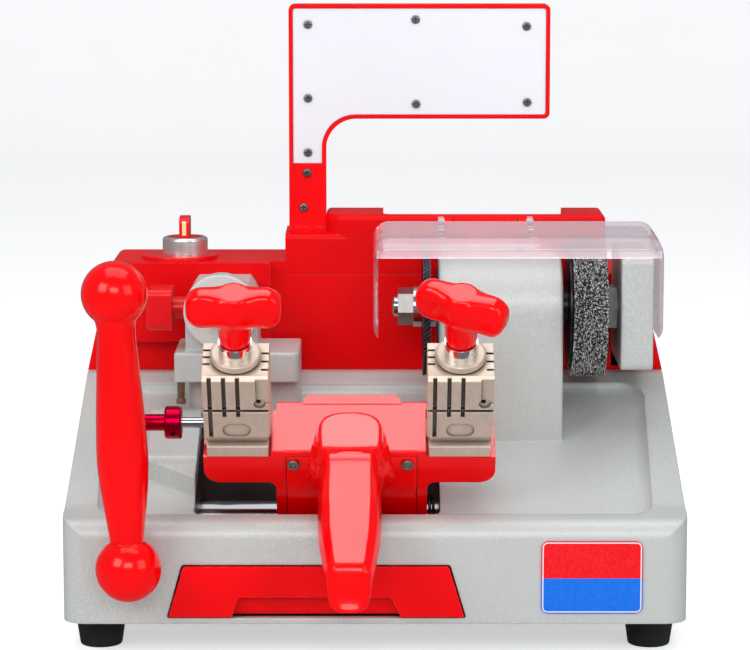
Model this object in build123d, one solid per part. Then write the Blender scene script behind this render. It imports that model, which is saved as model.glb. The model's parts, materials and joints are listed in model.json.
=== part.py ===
from build123d import *
from functools import partial
import math
import os

# Key duplicating machine: a cast base with a tilting two-jaw carriage at the front, a
# cutter and brush spindle behind it, a tracer at the left, and a hood over the motor.
# Millimetres: X to the right, Y from front to back, Z up from the bench.
# The model is laid out from the base's front face (Y = 0) and moved back by
# Y_ORIGIN when it is saved. The upright carriage frame has the rod axis at its origin.

Y_ORIGIN = 116.25               # depth of the saved origin behind the front face

# Driving dimensions
BASE_W, BASE_D = 340.0, 300.0
HALF_W = BASE_W / 2
FOOT_H = 20.0
DECK_Z = 131.6                  # rear deck height
RIM_Z = 76.4                    # front rim height
WALL = 5.0
RUN = 0.05                      # radial running clearance

ROD_Y, ROD_Z, ROD_R = 85.0, 61.0, 10.0
TILT = 33.0                     # degrees the carriage leans to the front at rest

SPINDLE_Y, SPINDLE_Z, SPINDLE_R = 128.0, 176.0, 7.5
MOTOR_Y, MOTOR_Z, MOTOR_R = 236.0, 138.0, 41.0
MOTOR_SHAFT_R = 5.0

LEVER_X, LEVER_Y, LEVER_Z = -131.7, -22.0, 55.6     # pivot ball of the ball lever
LEVER_R = 6.0                   # lever shaft radius
LEVER_BUSH_R = 8.5

TRACER_X, TRACER_Z = -88.0, 176.0
TRACER_R = 7.0

JAW_X = {"left": -74.5, "right": 45.9}              # jaw centres


# ---------------------------------------------------------------- helpers
def box(x0, x1, y0, y1, z0, z1):
    middle = Pos((x0 + x1) / 2, (y0 + y1) / 2, (z0 + z1) / 2)
    return middle * Box(x1 - x0, y1 - y0, z1 - z0)


def cyl(axis, a, b, radius, start, end, end_radius=None):
    """Cylinder or cone along an axis; a, b are the other two coordinates in X, Y, Z order."""
    height, middle = end - start, (start + end) / 2
    if end_radius is None:
        solid = Cylinder(radius, height)
    else:
        solid = Cone(radius, end_radius, height)
    if axis == "x":
        return Pos(middle, a, b) * Rot(0, 90, 0) * solid
    if axis == "y":
        return Pos(a, middle, b) * Rot(-90, 0, 0) * solid
    return Pos(a, b, middle) * solid


# Cylinders on the machine's own axes: (radius, start, end)
on_rod = partial(cyl, "x", ROD_Y, ROD_Z)
on_spindle = partial(cyl, "x", SPINDLE_Y, SPINDLE_Z)
on_motor = partial(cyl, "x", MOTOR_Y, MOTOR_Z)
on_lever = partial(cyl, "y", LEVER_X, LEVER_Z)
on_tracer = partial(cyl, "y", TRACER_X, TRACER_Z)


def ring(on_axis, outer, inner, start, end):
    return on_axis(outer, start, end) - on_axis(inner, start - 1, end + 1)


def outline(corners):
    """Closed run of edges through (u, v) or (u, v, r) corners, each rounded to its r."""
    edges = []
    first = last = None
    for i, corner in enumerate(corners):
        begin = end = here = Vector(*corner[:2])
        rounded = len(corner) > 2 and corner[2] > 0
        if rounded:
            radius = corner[2]
            before = (Vector(*corners[i - 1][:2]) - here).normalized()
            after = (Vector(*corners[(i + 1) % len(corners)][:2]) - here).normalized()
            half = math.acos(max(-1, min(1, before.dot(after)))) / 2
            bisector = (before + after).normalized()
            begin = here + before * (radius / math.tan(half))
            middle = here + bisector * (radius / math.sin(half) - radius)
            end = here + after * (radius / math.tan(half))
        if last is None:
            first = begin
        elif (begin - last).length > 1e-6:
            edges.append(Line(last, begin))
        if rounded:
            edges.append(ThreePointArc(begin, middle, end))
        last = end
    if (first - last).length > 1e-6:
        edges.append(Line(last, first))
    return edges


def rect(u0, u1, v0, v1, radius):
    return [(u0, v0, radius), (u1, v0, radius), (u1, v1, radius), (u0, v1, radius)]


def prism(axis, corners, start, end):
    """Outline swept along an axis: (y, z) for x, (x, z) for y, (x, y) for z."""
    face = make_face(outline(corners))
    if axis == "y":
        plane = Plane((0, start, 0), x_dir=(1, 0, 0), z_dir=(0, -1, 0))
        return extrude(plane * face, amount=start - end)
    if axis == "x":
        plane = Plane((start, 0, 0), x_dir=(0, 1, 0), z_dir=(1, 0, 0))
    else:
        plane = Plane((0, 0, start))
    return extrude(plane * face, amount=end - start)


def hexagon(axis, a, b, flats, start, end, turn=0.0):
    radius = flats / 2 / math.cos(math.pi / 6)
    angles = [math.radians(60 * i + turn) for i in range(6)]
    corners = [(a + radius * math.cos(t), b + radius * math.sin(t)) for t in angles]
    return prism(axis, corners, start, end)


def soft(shape, radius, test=None, along=None, bevel=False):
    """Round (or bevel) the edges whose midpoint passes test, or only lines along an axis."""
    edges = []
    for edge in shape.edges():
        if along is not None:
            if edge.geom_type != GeomType.LINE:
                continue
            if abs(getattr(edge % 0.5, along.upper())) < 0.98:
                continue
        if test is None or test(edge @ 0.5):
            edges.append(edge)
    if not edges:
        return shape
    for share in (1.0, 0.6, 0.35):
        # the kernel may refuse a radius: then a smaller one is tried
        try:
            cut = chamfer if bevel else fillet
            result = cut(edges, radius * share)
            if result.is_valid:
                return result
        except Exception:
            pass
    return shape


def tilt(shape):
    """From the carriage's upright frame to its rest place."""
    return Pos(0, ROD_Y, ROD_Z) * Rot(TILT, 0, 0) * shape


def coil(radius, wire, pitch, height):
    path = Helix(pitch=pitch, height=height, radius=radius)
    section = Plane(origin=path @ 0, z_dir=path % 0) * Circle(wire / 2)
    return sweep(section, path=path)


def save(name, *shapes):
    solids = [solid for shape in shapes for solid in shape.solids()]
    moved = [Pos(0, -Y_ORIGIN, 0) * solid for solid in solids]
    shape = moved[0] if len(moved) == 1 else Compound(children=moved)
    export_step(shape, "parts/" + name + ".step")


PIECES = []


def piece(build):
    """Lists a function whose shape, or list of shapes, is saved under its own name."""
    PIECES.append(build)
    return build


# ----------------------------------------------------------- base casting
WELL_X0, WELL_X1, WELL_Y0, WELL_Y1 = -99.7, 36.0, 28.0, 118.0   # carriage well
BUSH_R, BUSH_L = 13, 10                     # bushes of the carriage rod
HOUSING_X = (36.0, 107.0)                   # ends of the spindle housing
HOUSING_R, BEARING_R = 30, 17.5
HOUSING_BACK = 171.8
FOOT_X, FOOT_Y = (-152, 152), (37, 263)
FEET = [(x, y) for y in FOOT_Y for x in FOOT_X]
DRAWER_TOP_Z, DRAWER_BOT_Z = 52.0, 24.0
MOUTH_GAP = 0.8                             # above and below the drawer front

# side outline (y, z, corner radius)
BASE_SIDE = [
    (0, FOOT_H), (0, RIM_Z - 1.0, 10), (26, 80.2, 30), (150, 126.5, 12),
    (164, DECK_Z, 10), (BASE_D, DECK_Z, 4), (BASE_D, FOOT_H)]
# cavity under the casting (y, z)
CAVITY = [
    (WALL, 0), (WALL, 60), (16, 63), (98, 95.5), (148, 117), (156, DECK_Z - WALL),
    (BASE_D - WALL, DECK_Z - WALL), (BASE_D - WALL, 0)]
# space above the sloped tray floor (y, z, corner radius)
TRAY_FLOOR = [
    (-20, 63.5), (18, 70.0, 20), (98, 102.2), (150, 121.5), (170, 129.0),
    (170, 150), (-20, 150)]


def chip_tray():
    """Drafted walls, sloped floor, rounded plan corners."""
    bottom = Plane((0, 0, 60)) * make_face(outline(rect(-150, 150, 14, 150, 14)))
    top = Plane((0, 0, 140)) * make_face(outline(rect(-159, 159, 11.5, 152, 16)))
    tray = loft([bottom, top]) & prism("x", TRAY_FLOOR, -HALF_W, HALF_W)
    return soft(tray, 6.0, lambda mid: mid.Z < 70.8 + 0.385 * (mid.Y - 18) + 1.2)


def well_block():
    """Raised block at the left of the well."""
    block = prism("x", [(64, 86), (64, 99.5, 3), (117, 119.5, 3), (117, 100)], -128.0, WELL_X0)
    wedge = prism("z", [(-128, 62), (WELL_X0, 44), (WELL_X0, 66), (-128, 66)], 70, 97.5)
    slope = prism("x", [(40, 70), (40, 90.5), (117, 119.5), (117, 80)], -130, -99)
    return block + wedge & slope


def well_walls():
    under_tray = [(WALL, 50), (WALL, 62), (16, 64), (98, 97), (130, 110), (130, 50)]
    walls = box(WELL_X0 - WALL, WELL_X1 + WALL, WELL_Y0 - WALL, WELL_Y1 + WALL, 54, 100)
    return walls & prism("x", under_tray, -HALF_W, HALF_W)


def tracer_pedestal():
    plan = [(-108, 121, 3), (-43.4, 121, 3), (-43.4, 170), (-108, 170)]
    return box(-108, -43.4, 121, 165, 100, 135) & prism("z", plan, 90, 140)


def spindle_housing():
    x0, x1 = HOUSING_X
    front, back = SPINDLE_Y - HOUSING_R, SPINDLE_Y + HOUSING_R
    body = [(front, 96), (front, SPINDLE_Z), (back, SPINDLE_Z),
            (HOUSING_BACK, 178), (HOUSING_BACK, 120)]
    top = SPINDLE_Z + HOUSING_R
    rear = [(SPINDLE_Y, 150), (SPINDLE_Y, top), (HOUSING_BACK, top), (HOUSING_BACK, 150)]
    inside_top = SPINDLE_Z - 30
    inside = [(SPINDLE_Y - 24, 90), (SPINDLE_Y - 24, inside_top), (166, inside_top), (166, 90)]
    housing = prism("x", body, x0, x1)
    housing = housing + on_spindle(HOUSING_R, x0, x1)
    housing = housing + prism("x", rear, x0 + 3, x1 - 3)
    return housing - prism("x", inside, 42, 101.5)


def add_shaft_bores(base):
    """Bosses and bores of the carriage rod and of the ball lever's shaft."""
    left_boss = on_rod(17, WELL_X0 - BUSH_L, WELL_X0 - 4.9)
    right_boss = on_rod(17, WELL_X1 + 4.9, WELL_X1 + BUSH_L)
    bore = on_rod(BUSH_R, WELL_X0 - 12, WELL_X1 + 12)
    base = base + (left_boss + right_boss)
    base = base - bore
    base = base + on_lever(13, 4.9, 16)
    bearing_wall = prism("x", [(40, 30), (40, 76), (60, 84), (60, 30)], -HALF_W, 0)
    base = base + (box(-165, -106, 50, 56, 35, 79) & bearing_wall)
    base = base - on_lever(LEVER_BUSH_R, -1, 57)
    # room for the rack bar under the tray floor, then the left boss put back
    base = base - box(-164.9, -104.9, 60.5, 99, 57, 84.2)
    return base + (left_boss - bore)


def cut_openings(base):
    top, bottom = DRAWER_TOP_Z + MOUTH_GAP, DRAWER_BOT_Z - MOUTH_GAP
    mouth = [(-104.8, top, 2), (40.8, top, 2), (49.6, bottom, 1), (-113.1, bottom, 1)]
    base = base - prism("y", mouth, -1, 7)
    base = base - box(-78, 88, 190, 284, 120, 140)      # motor
    base = base - box(118, 160, 176, 284, 120, 140)     # belt
    return base - box(-139, -113, 290, 305, 86, 106)    # power inlet


@piece
def base_casting():
    plan = prism("z", rect(-HALF_W, HALF_W, 0, BASE_D, 13), 0, 300)
    base = prism("x", BASE_SIDE, -HALF_W, HALF_W) & plan
    inner_x = HALF_W - WALL
    inner_plan = rect(-inner_x, inner_x, WALL, BASE_D - WALL, 8)
    base = base - (prism("x", CAVITY, -inner_x, inner_x) & prism("z", inner_plan, 0, 300))
    base = base - chip_tray()
    base = base + well_block()
    base = base + well_walls()
    # the well is open down to the drawer
    base = base - prism("z", rect(WELL_X0, WELL_X1, WELL_Y0, WELL_Y1, 5), 30, 140)
    base = base + tracer_pedestal()
    base = base + spindle_housing()
    front = SPINDLE_Y - HOUSING_R
    for x in HOUSING_X:
        base = soft(base, 3.0, lambda mid: (
            abs(mid.X - x) < 0.1 and abs(mid.Y - front) < 0.6 and mid.Z > 110), "z")
    base = base - on_spindle(BEARING_R, 30, 115)
    base = add_shaft_bores(base)
    base = cut_openings(base)
    # screw bosses, reaching slightly into the cavity's roof
    for x in FOOT_X:
        for y in FOOT_Y:
            boss = cyl("z", x, y, 12, FOOT_H + 2.5, 74 if y < 100 else 128)
            room = prism("x", CAVITY, -169.9, 169.9).moved(Location((0, 0, 1.5)))
            base = base + (boss & room)
    base = base & plan
    return base - box(-164.8, 164.8, 5.2, 294.8, FOOT_H - 1, FOOT_H + 2.5)


# ------------------------------------------------- bottom, feet, nameplate
PLATE_TOP = FOOT_H + 2.4
FOOT_SCREW_R = 2.0
FOOT_SINK = 8                   # height of the step in the foot's bore


@piece
def bottom_plate():
    plate = prism("z", rect(-164.6, 164.6, 5.4, 294.6, 8), FOOT_H + 0.3, PLATE_TOP)
    for i in range(7):
        plate = plate - box(-30, 30, 198 + i * 11, 202 + i * 11, 15, 30)
    for x, y in FEET:
        plate = plate - cyl("z", x, y, 2.2, 15, 30)
    return plate


@piece
def rubber_feet():
    feet = []
    for x, y in FEET:
        foot = cyl("z", x, y, 11.5, 0, FOOT_H, 14.5)
        foot = soft(foot, 1.4, lambda mid: mid.Z < 0.5)
        foot = foot - cyl("z", x, y, FOOT_SCREW_R, FOOT_SINK, FOOT_H + 1)
        feet.append(foot - cyl("z", x, y, 5.0, -1, FOOT_SINK))
    return feet


@piece
def foot_screws():
    return [
        cyl("z", x, y, FOOT_SCREW_R, FOOT_SINK, FOOT_H + 2.5)
        + cyl("z", x, y, 4.2, 5, FOOT_SINK)
        for x, y in FEET]


@piece
def nameplate():
    return prism("y", rect(90, 145, 26, 66, 4), -0.9, 0)


@piece
def chip_drawer():
    front = [(-104, DRAWER_TOP_Z, 2), (40, DRAWER_TOP_Z, 2),
             (48.6, DRAWER_BOT_Z, 1), (-112.2, DRAWER_BOT_Z, 1)]
    recess = [(-79, 20), (-74, 35, 2), (8.5, 35, 2), (16, 20)]
    panel = prism("y", front, -1.5, 3.0) - prism("y", recess, -3, 4)
    tub = box(-94, 31, 3.0, 124, 24.4, 42) - box(-92, 29, 5.0, 122, 26.4, 45)
    tub = tub + box(-82, 18, 3.0, 16, 24.4, 42)
    tub = tub - prism("y", recess, -3, 5.5)
    return panel + tub


# ------------------------------------------------- selector and rear hood
SELECTOR_X, SELECTOR_Y = -113.0, 187.0
SELECTOR_R = 6.0
HOOD_WALL = 3.0
HOOD_FRONT, HOOD_BACK = 172, 299
STALK_X, STALK_Y = -40, 195                     # wiring hole up the sign's stalk
HINGE_Y, HINGE_Z, HINGE_R = 166.0, 220.5, 2.0   # guard hinge
LUG_X, LUG_W = (40.8, 84.6), 4.2
HOOD_SCREWS = [(-130, 150), (130, 150)]         # (x, z) on the hood's back
on_selector = partial(cyl, "z", SELECTOR_X, SELECTOR_Y)
on_hinge = partial(cyl, "x", HINGE_Y, HINGE_Z)


def hood_form(k):
    """Main body and left front part, all faces drawn in by k; square-cornered if k > 0."""
    def corner(radius):
        return 0 if k else radius

    floor = DECK_Z - (5 if k else 0)
    front, back = HOOD_FRONT + k, HOOD_BACK - k
    low = prism("y", [
        (-170.5 + k, floor), (-156 + k, 197 - k, corner(6)), (136 - k, 197 - k),
        (136 - k, 189 - k), (157.1 - k, 189 - k, corner(5)), (170.5 - k, floor)], front, back)
    back_slope = prism("x", [
        (100, 90), (100, 240), (206, 240), (212 - k, 224.5 - k), (223.5 - k, 198 - k, 5),
        (back, 162 - k, 10), (back, 90)], -180, 180)
    left_tower = prism("z", [
        (-53 + k, front), (-14 + k, front), (-14 + k, back), (-53 + k, back)],
        floor, 212.5 - k)
    right_tower = prism("z", [
        (-29 + k, front, 14 - k), (136 - k, front, corner(3)),
        (136 - k, back), (-29 + k, back)], floor, 224 - k)
    main = (low + left_tower + right_tower) & back_slope
    left = prism("y", [
        (-163.2 + k, 150 + k), (-156 + k, 197 - k, corner(6)),
        (-61 - k, 197 - k, corner(3)), (-61 - k, 150 + k)], 162 + k, 185)
    return main, left


def hinge_lug(x):
    return prism("x", [
        (172.2, 211), (168, 211, 2), (HINGE_Y - 3.5, HINGE_Z),
        (HINGE_Y - 3.5, HINGE_Z + 3.5, 3.3), (HINGE_Y + 3.5, HINGE_Z + 3.5, 3),
        (176, 221), (176, 211)], x, x + LUG_W)


@piece
def rear_hood():
    main, left = hood_form(0)
    inner_main, inner_left = hood_form(HOOD_WALL)
    main = soft(main, 3.0, lambda mid: abs(mid.Y - HOOD_FRONT) < 0.1 and mid.Z > 205, "x")
    hood = main + left
    # a tool tray is sunk in the top, with its own floor and walls
    inner = inner_main + inner_left
    inner = inner - box(2, 115, 174, 290, 211, 230)
    tool_tray = [(5, 177, 5), (112, 177, 5), (112, 300), (5, 300)]
    hood = hood - inner - prism("z", tool_tray, 214, 230)
    # crease line on the front face
    hood = hood - box(-53.2, 136.2, 171.5, 172.25, 188.6, 189.3)
    # openings: belt, selector, stalk wiring, tracer axis
    hood = hood - box(140, 162, 165, 176, 134, 180)
    hood = hood - on_selector(SELECTOR_R, 190, 200)
    hood = hood - cyl("z", STALK_X, STALK_Y, 3.5, 205, 216)
    hood = hood - on_tracer(4.0, 160, 168)
    # cooling slots in the back
    for i in range(9):
        hood = hood - box(-60 + i * 14, -55 + i * 14, 292, 302, 138, 153)
    for x in LUG_X:
        hood = hood + hinge_lug(x)
    hood = hood - on_hinge(HINGE_R, 30, 100)
    for x, z in HOOD_SCREWS:
        hood = hood - cyl("y", x, z, 1.5, 290, 300)
    return hood


@piece
def hood_screws():
    return [
        cyl("y", x, z, 3.6, HOOD_BACK, HOOD_BACK + 2.4)
        + cyl("y", x, z, 1.5, HOOD_BACK - 3, HOOD_BACK)
        for x, z in HOOD_SCREWS]


@piece
def power_inlet():
    inlet = box(-139, -113, 284, 300, 86, 106) + box(-143, -109, 300, 301.5, 83, 109)
    inlet = inlet - box(-135.5, -116.5, 288, 303, 89.5, 102.5)
    for x, z in ((-126, 99), (-131, 94), (-121, 94)):       # contact pins
        inlet = inlet + box(x - 1, x + 1, 287, 299, z - 2, z + 2)
    return inlet


@piece
def selector_legend():
    disc = cyl("z", SELECTOR_X - 3.2, SELECTOR_Y, 22.5, 197, 199.4)
    disc = disc - on_selector(SELECTOR_R, 190, 205)
    return soft(disc, 0.8, lambda mid: (
        mid.Z > 199.3 and math.hypot(mid.X - SELECTOR_X, mid.Y - SELECTOR_Y) > 10))


@piece
def selector_bezel():
    bezel = soft(on_selector(13.4, 199.4, 209.6), 2.0, lambda mid: mid.Z > 209.5)
    return bezel - on_selector(SELECTOR_R + RUN, 190, 215) - on_selector(10.2, 204, 215)


@piece
def selector_handle():
    handle = on_selector(SELECTOR_R - RUN, 180, 204.2) + on_selector(10.1, 204.2, 208.8)
    y0, y1 = SELECTOR_Y - 9.2, SELECTOR_Y + 9.2
    blade = [(y0, 207.5), (y0, 221.6, 3.5), (y1, 221.6, 3.5), (y1, 207.5)]
    return handle + prism("x", blade, SELECTOR_X - 3, SELECTOR_X + 3)


# --------------------------------------------------------- sign and light
SIGN_SCREWS = [                 # (x, z)
    (-39.6, 335.1), (23.9, 338.0), (89.4, 334.0), (-39.7, 291.6),
    (24.3, 288.2), (90.0, 289.2), (-39.8, 259.4)]
STALK_SCREWS = [(-40.3, 247.3), (-42.4, 226.6)]
SIGN_FACE, STALK_FACE = 188.6, 188.0    # y of the faces under the screw heads


@piece
def sign_frame():
    """L-shaped frame: a stalk at the left, the sign spreading to the right."""
    outer = [(-51, 212.5, 2), (-29, 212.5, 2), (-29, 279.5, 18),
             (103.4, 279.5, 3.5), (103.4, 347, 3.5), (-51, 347, 3.5)]
    inner = [(-48.6, 253), (-31.4, 253), (-31.4, 281.9, 20),
             (101, 281.9, 1.5), (101, 344.6, 1.5), (-48.6, 344.6, 1.5)]
    wiring = cyl("z", STALK_X, STALK_Y, 3.0, 205, 254)
    frame = prism("y", outer, STALK_FACE, 200) - prism("y", inner, 187, 197.6)
    frame = frame - wiring
    frame = frame + (box(-51, -29, 184, 204, 212.5, 215.5) - wiring)
    lower, upper = [cyl("y", x, z, 1.5, 187, 197) for x, z in STALK_SCREWS]
    return frame - (lower + upper)


@piece
def sign_panel():
    face = [(-48.5, 253.1), (-31.5, 253.1), (-31.5, 282.0, 19.9),
            (100.9, 282.0, 1.4), (100.9, 344.5, 1.4), (-48.5, 344.5, 1.4)]
    panel = prism("y", face, SIGN_FACE, 191.6)
    for x, z in SIGN_SCREWS:
        panel = panel - cyl("y", x, z, 1.6, 180, 200)
    return panel


@piece
def light_board():
    board = box(-30, 84, 195.2, 197.5, 297, 330)
    for i in range(8):
        x = -25 + i * 14
        for z in (306, 321):
            board = board + box(x - 2.5, x + 2.5, 194.2, 195.2, z - 2.5, z + 2.5)
    return board


def cross_screw(x, z, face, length):
    """Pan head with a cross recess, facing the front."""
    screw = cyl("y", x, z, 2.6, face - 1.3, face) + cyl("y", x, z, 1.5, face, face + length)
    screw = soft(screw, 0.9, lambda mid: mid.Y < face - 1.2)
    for half_x, half_z in ((1.6, 0.4), (0.4, 1.6)):
        screw = screw - box(
            x - half_x, x + half_x, face - 2, face - 0.6, z - half_z, z + half_z)
    return screw


@piece
def sign_screws():
    panel_screws = [cross_screw(x, z, SIGN_FACE, 5.0) for x, z in SIGN_SCREWS]
    return panel_screws + [cross_screw(x, z, STALK_FACE, 6.0) for x, z in STALK_SCREWS]


# -------------------------------------------------------- motor and drive
SPINDLE_PULLEY_R, MOTOR_PULLEY_R = 15.0, 12.5
PULLEY_X = (143, 155)
FIN_STEP = 15                   # degrees between the motor's fins


@piece
def motor_body():
    motor = on_motor(MOTOR_R, -66, 74) + on_motor(30, 74, 80)
    for i in range(360 // FIN_STEP):
        fin = box(-50, 58, -1.0, 1.0, MOTOR_R - 0.5, MOTOR_R + 1.5)
        motor = motor + Pos(0, MOTOR_Y, MOTOR_Z) * Rot(i * FIN_STEP, 0, 0) * fin
    return motor - on_motor(MOTOR_SHAFT_R + RUN, 40, 90) - on_motor(30, -50, 60)


@piece
def motor_bracket():
    floor = PLATE_TOP + 3.6
    cradle = box(-44, 52, 200, 272, PLATE_TOP, floor)
    for x in (-44, 48):
        cradle = cradle + box(x, x + 4, 204, 268, floor, 120)
    return cradle - on_motor(MOTOR_R + 1.55, -80, 90)


@piece
def motor_shaft():
    return on_motor(MOTOR_SHAFT_R, -49, 156) + on_motor(28, -40, 50)


def pulley(on_axis, radius, bore):
    start, end = PULLEY_X
    wheel = on_axis(radius, start, end)
    wheel = wheel + on_axis(radius + 3.2, start, start + 1.2)
    wheel = wheel + on_axis(radius + 3.2, end - 1.2, end)
    return wheel - on_axis(bore, 140, 160)


@piece
def motor_pulley():
    return pulley(on_motor, MOTOR_PULLEY_R, MOTOR_SHAFT_R)


@piece
def spindle_pulley():
    return pulley(on_spindle, SPINDLE_PULLEY_R, SPINDLE_R)


def belt_loop(gap):
    """Solid loop round both pulleys at a gap beyond their radii."""
    spindle_r, motor_r = SPINDLE_PULLEY_R + gap, MOTOR_PULLEY_R + gap
    dy, dz = MOTOR_Y - SPINDLE_Y, MOTOR_Z - SPINDLE_Z
    heading = math.atan2(dz, dy)
    contact = math.acos((spindle_r - motor_r) / math.hypot(dy, dz))

    def at_spindle(angle):
        return (SPINDLE_Y + spindle_r * math.cos(angle),
                SPINDLE_Z + spindle_r * math.sin(angle))

    def at_motor(angle):
        return (MOTOR_Y + motor_r * math.cos(angle), MOTOR_Z + motor_r * math.sin(angle))

    a0, a1 = heading + contact, heading + 2 * math.pi - contact
    edges = [
        Line(at_motor(a0), at_spindle(a0)),
        ThreePointArc(at_spindle(a0), at_spindle(heading + math.pi), at_spindle(a1)),
        Line(at_spindle(a1), at_motor(a1)),
        ThreePointArc(at_motor(a1), at_motor(heading), at_motor(a0))]
    plane = Plane((144.6, 0, 0), x_dir=(0, 1, 0), z_dir=(1, 0, 0))
    return extrude(plane * make_face(edges), amount=8.8)


@piece
def drive_belt():
    return belt_loop(2.6) - belt_loop(0.15)


@piece
def belt_cover():
    """Shell closed at the front, open into the hood."""
    cover = box(139.8, 158.2, 98, 172, 143, 208)
    cover = soft(cover, 4.0, lambda mid: mid.Y < 99, "x")
    cover = soft(cover, 1.2, lambda mid: mid.Y < 171)
    cover = cover - box(141.8, 156.4, 100, 173, 145, 206)
    cover = cover - on_spindle(9.0, 138, 150)
    return cover - box(141.8, 156.4, 146, 173, 140, 150)


# ---------------------------------------------------------------- spindle
CUTTER_X = (27.1, 31.9)
CUTTER_R, TOOTH_DEPTH, CUTTER_TEETH = 40.0, 2.6, 60
NUT_X, FLANGE_X = 13.2, 22.0    # left faces of the cutter's nut and flange
SPINDLE_TIP_R = 6.0
BRUSH_R = 40.5
BRUSH_X = (112.3, 132.2)
BRUSH_FLANGE_X = 111.0


@piece
def spindle_shaft():
    shaft = on_spindle(SPINDLE_TIP_R, 10, FLANGE_X) + on_spindle(SPINDLE_R, FLANGE_X, 155.6)
    shaft = shaft + on_spindle(12, CUTTER_X[1], 35.4)
    return soft(shaft, 1.0, lambda mid: mid.X < 10.1, bevel=True)


@piece
def spindle_bearings():
    return [ring(on_spindle, BEARING_R, SPINDLE_R + RUN, x, x + 11) for x in (38, 94)]


@piece
def cutter():
    corners = []
    for i in range(CUTTER_TEETH):
        for part, radius in ((0, CUTTER_R), (0.75, CUTTER_R - TOOTH_DEPTH)):
            angle = 2 * math.pi * (i + part) / CUTTER_TEETH
            corners.append((SPINDLE_Y + radius * math.cos(angle),
                            SPINDLE_Z + radius * math.sin(angle)))
    return prism("x", corners, *CUTTER_X) - on_spindle(SPINDLE_R, 20, 40)


@piece
def cutter_flange():
    return on_spindle(12, FLANGE_X, CUTTER_X[0]) - on_spindle(SPINDLE_R, 20, 30)


@piece
def cutter_nut():
    nut = hexagon("x", SPINDLE_Y, SPINDLE_Z, 19, NUT_X, FLANGE_X, 12)
    return nut - on_spindle(SPINDLE_TIP_R, 10, 25)


@piece
def bristle_brush():
    brush = on_spindle(BRUSH_R, *BRUSH_X) - on_spindle(SPINDLE_R, 110, 140)
    return soft(brush, 1.5, lambda mid: (
        math.hypot(mid.Y - SPINDLE_Y, mid.Z - SPINDLE_Z) > 30))


@piece
def brush_flange():
    flange = on_spindle(33, BRUSH_FLANGE_X, BRUSH_X[0]) + on_spindle(9.5, 107.3, BRUSH_FLANGE_X)
    return flange - on_spindle(SPINDLE_R, 100, 120)


@piece
def brush_nut():
    nut = hexagon("x", SPINDLE_Y, SPINDLE_Z, 23.4, BRUSH_X[1], 139.3)
    return nut - on_spindle(SPINDLE_R, 130, 145)


# ------------------------------------------------------------------ guard
GUARD_X0, GUARD_X1, GUARD_WALL = -1.0, 163.5, 2.8
RIB_X, RIB_W, RIB_EYE_R = (37.0, 89.2), 3.4, 3.3


@piece
def clear_guard():
    outer = [(88, 160, 3), (88, 214.2, 1.0), (99, 218.8, 12), (125, 220.6, 40),
             (161, 221.6), (161, 190, 20), (128, 160, 20)]
    inner = [(80, 150), (80, 211.4), (88, 211.4), (99.6, 216.1, 10), (125, 217.9, 40),
             (170, 219.1), (170, 150)]
    lip = [(88, 208.6, 1), (88, 213), (90.6, 213), (90.6, 208.6, 1)]
    rib = [(89, 212), (89, 214.9), (99, 219.4), (125, 221.3), (158, 222.9),
           (HINGE_Y, HINGE_Z + RIB_EYE_R), (HINGE_Y, HINGE_Z - RIB_EYE_R),
           (158, 219.0), (125, 218.6), (99, 217)]
    inner_x0, inner_x1 = GUARD_X0 + GUARD_WALL, GUARD_X1 - GUARD_WALL
    guard = prism("x", outer, GUARD_X0, GUARD_X1)
    guard = soft(guard, 9.0, lambda mid: (
        min(abs(mid.X - GUARD_X0), abs(mid.X - GUARD_X1)) < 0.1
        and mid.Z > 213.5 and 88.3 < mid.Y < 160.9))
    hollow = prism("x", inner, inner_x0, inner_x1)
    hollow = soft(hollow, 6.2, lambda mid: (
        min(abs(mid.X - inner_x0), abs(mid.X - inner_x1)) < 0.1 and mid.Z > 210))
    guard = guard - hollow
    guard = guard + prism("x", lip, GUARD_X0 + 2, GUARD_X1 - 2)
    for x in RIB_X:
        guard = guard + prism("x", rib, x, x + RIB_W) + on_hinge(RIB_EYE_R, x, x + RIB_W)
    for x in RIB_X:
        guard = guard - on_hinge(HINGE_R + RUN, x - 1, x + 5)
    return guard


@piece
def guard_pins():
    return [on_hinge(HINGE_R, 37.2, LUG_X[0] + LUG_W), on_hinge(HINGE_R, LUG_X[1], 92.4)]


# ----------------------------------------------------------------- tracer
LOCK_PIN_Y, LOCK_PIN_Z, LOCK_PIN_R = 130.0, 175.0, 6.3
STOP_X, STOP_Y, STOP_R = -111.5, 114, 2.25
CUT_X = 29.5                    # cutting plane, between the cutter's faces
TIP_X = JAW_X["left"] + CUT_X - JAW_X["right"]  # as far from its jaw as the cutter


@piece
def tracer_bracket():
    foot = [(-115, 107, 2), (-43.4, 107, 4), (-43.4, 161.8), (-115, 161.8)]
    column = [(112, 150), (112, 176), (161.8, 176), (161.8, 150)]
    bracket = prism("z", foot, 135, 152)
    column = prism("x", column, -108.6, -67.4)
    barrel = on_tracer(20.6, 112, 161.8) - box(-112, -64, 121, 163, 190.2, 200)
    bracket = bracket + column + barrel
    bracket = soft(bracket, 1.5, lambda mid: abs(mid.Z - 152) < 0.2 and mid.Y < 160)
    bracket = bracket - on_tracer(TRACER_R + RUN, 100, 150)
    bracket = bracket - cyl("x", LOCK_PIN_Y, LOCK_PIN_Z, LOCK_PIN_R + RUN, -112, -96)
    bracket = bracket - cyl("z", STOP_X, STOP_Y, STOP_R, 130, 150)
    return bracket - on_tracer(12.5, 144, 156)


@piece
def tracer_dial():
    dial = ring(on_tracer, 21.2, TRACER_R + RUN, 104, 111.9)
    return soft(dial, 0.8, lambda mid: (
        mid.Y < 104.1 and math.hypot(mid.X - TRACER_X, mid.Z - TRACER_Z) > 15))


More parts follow.
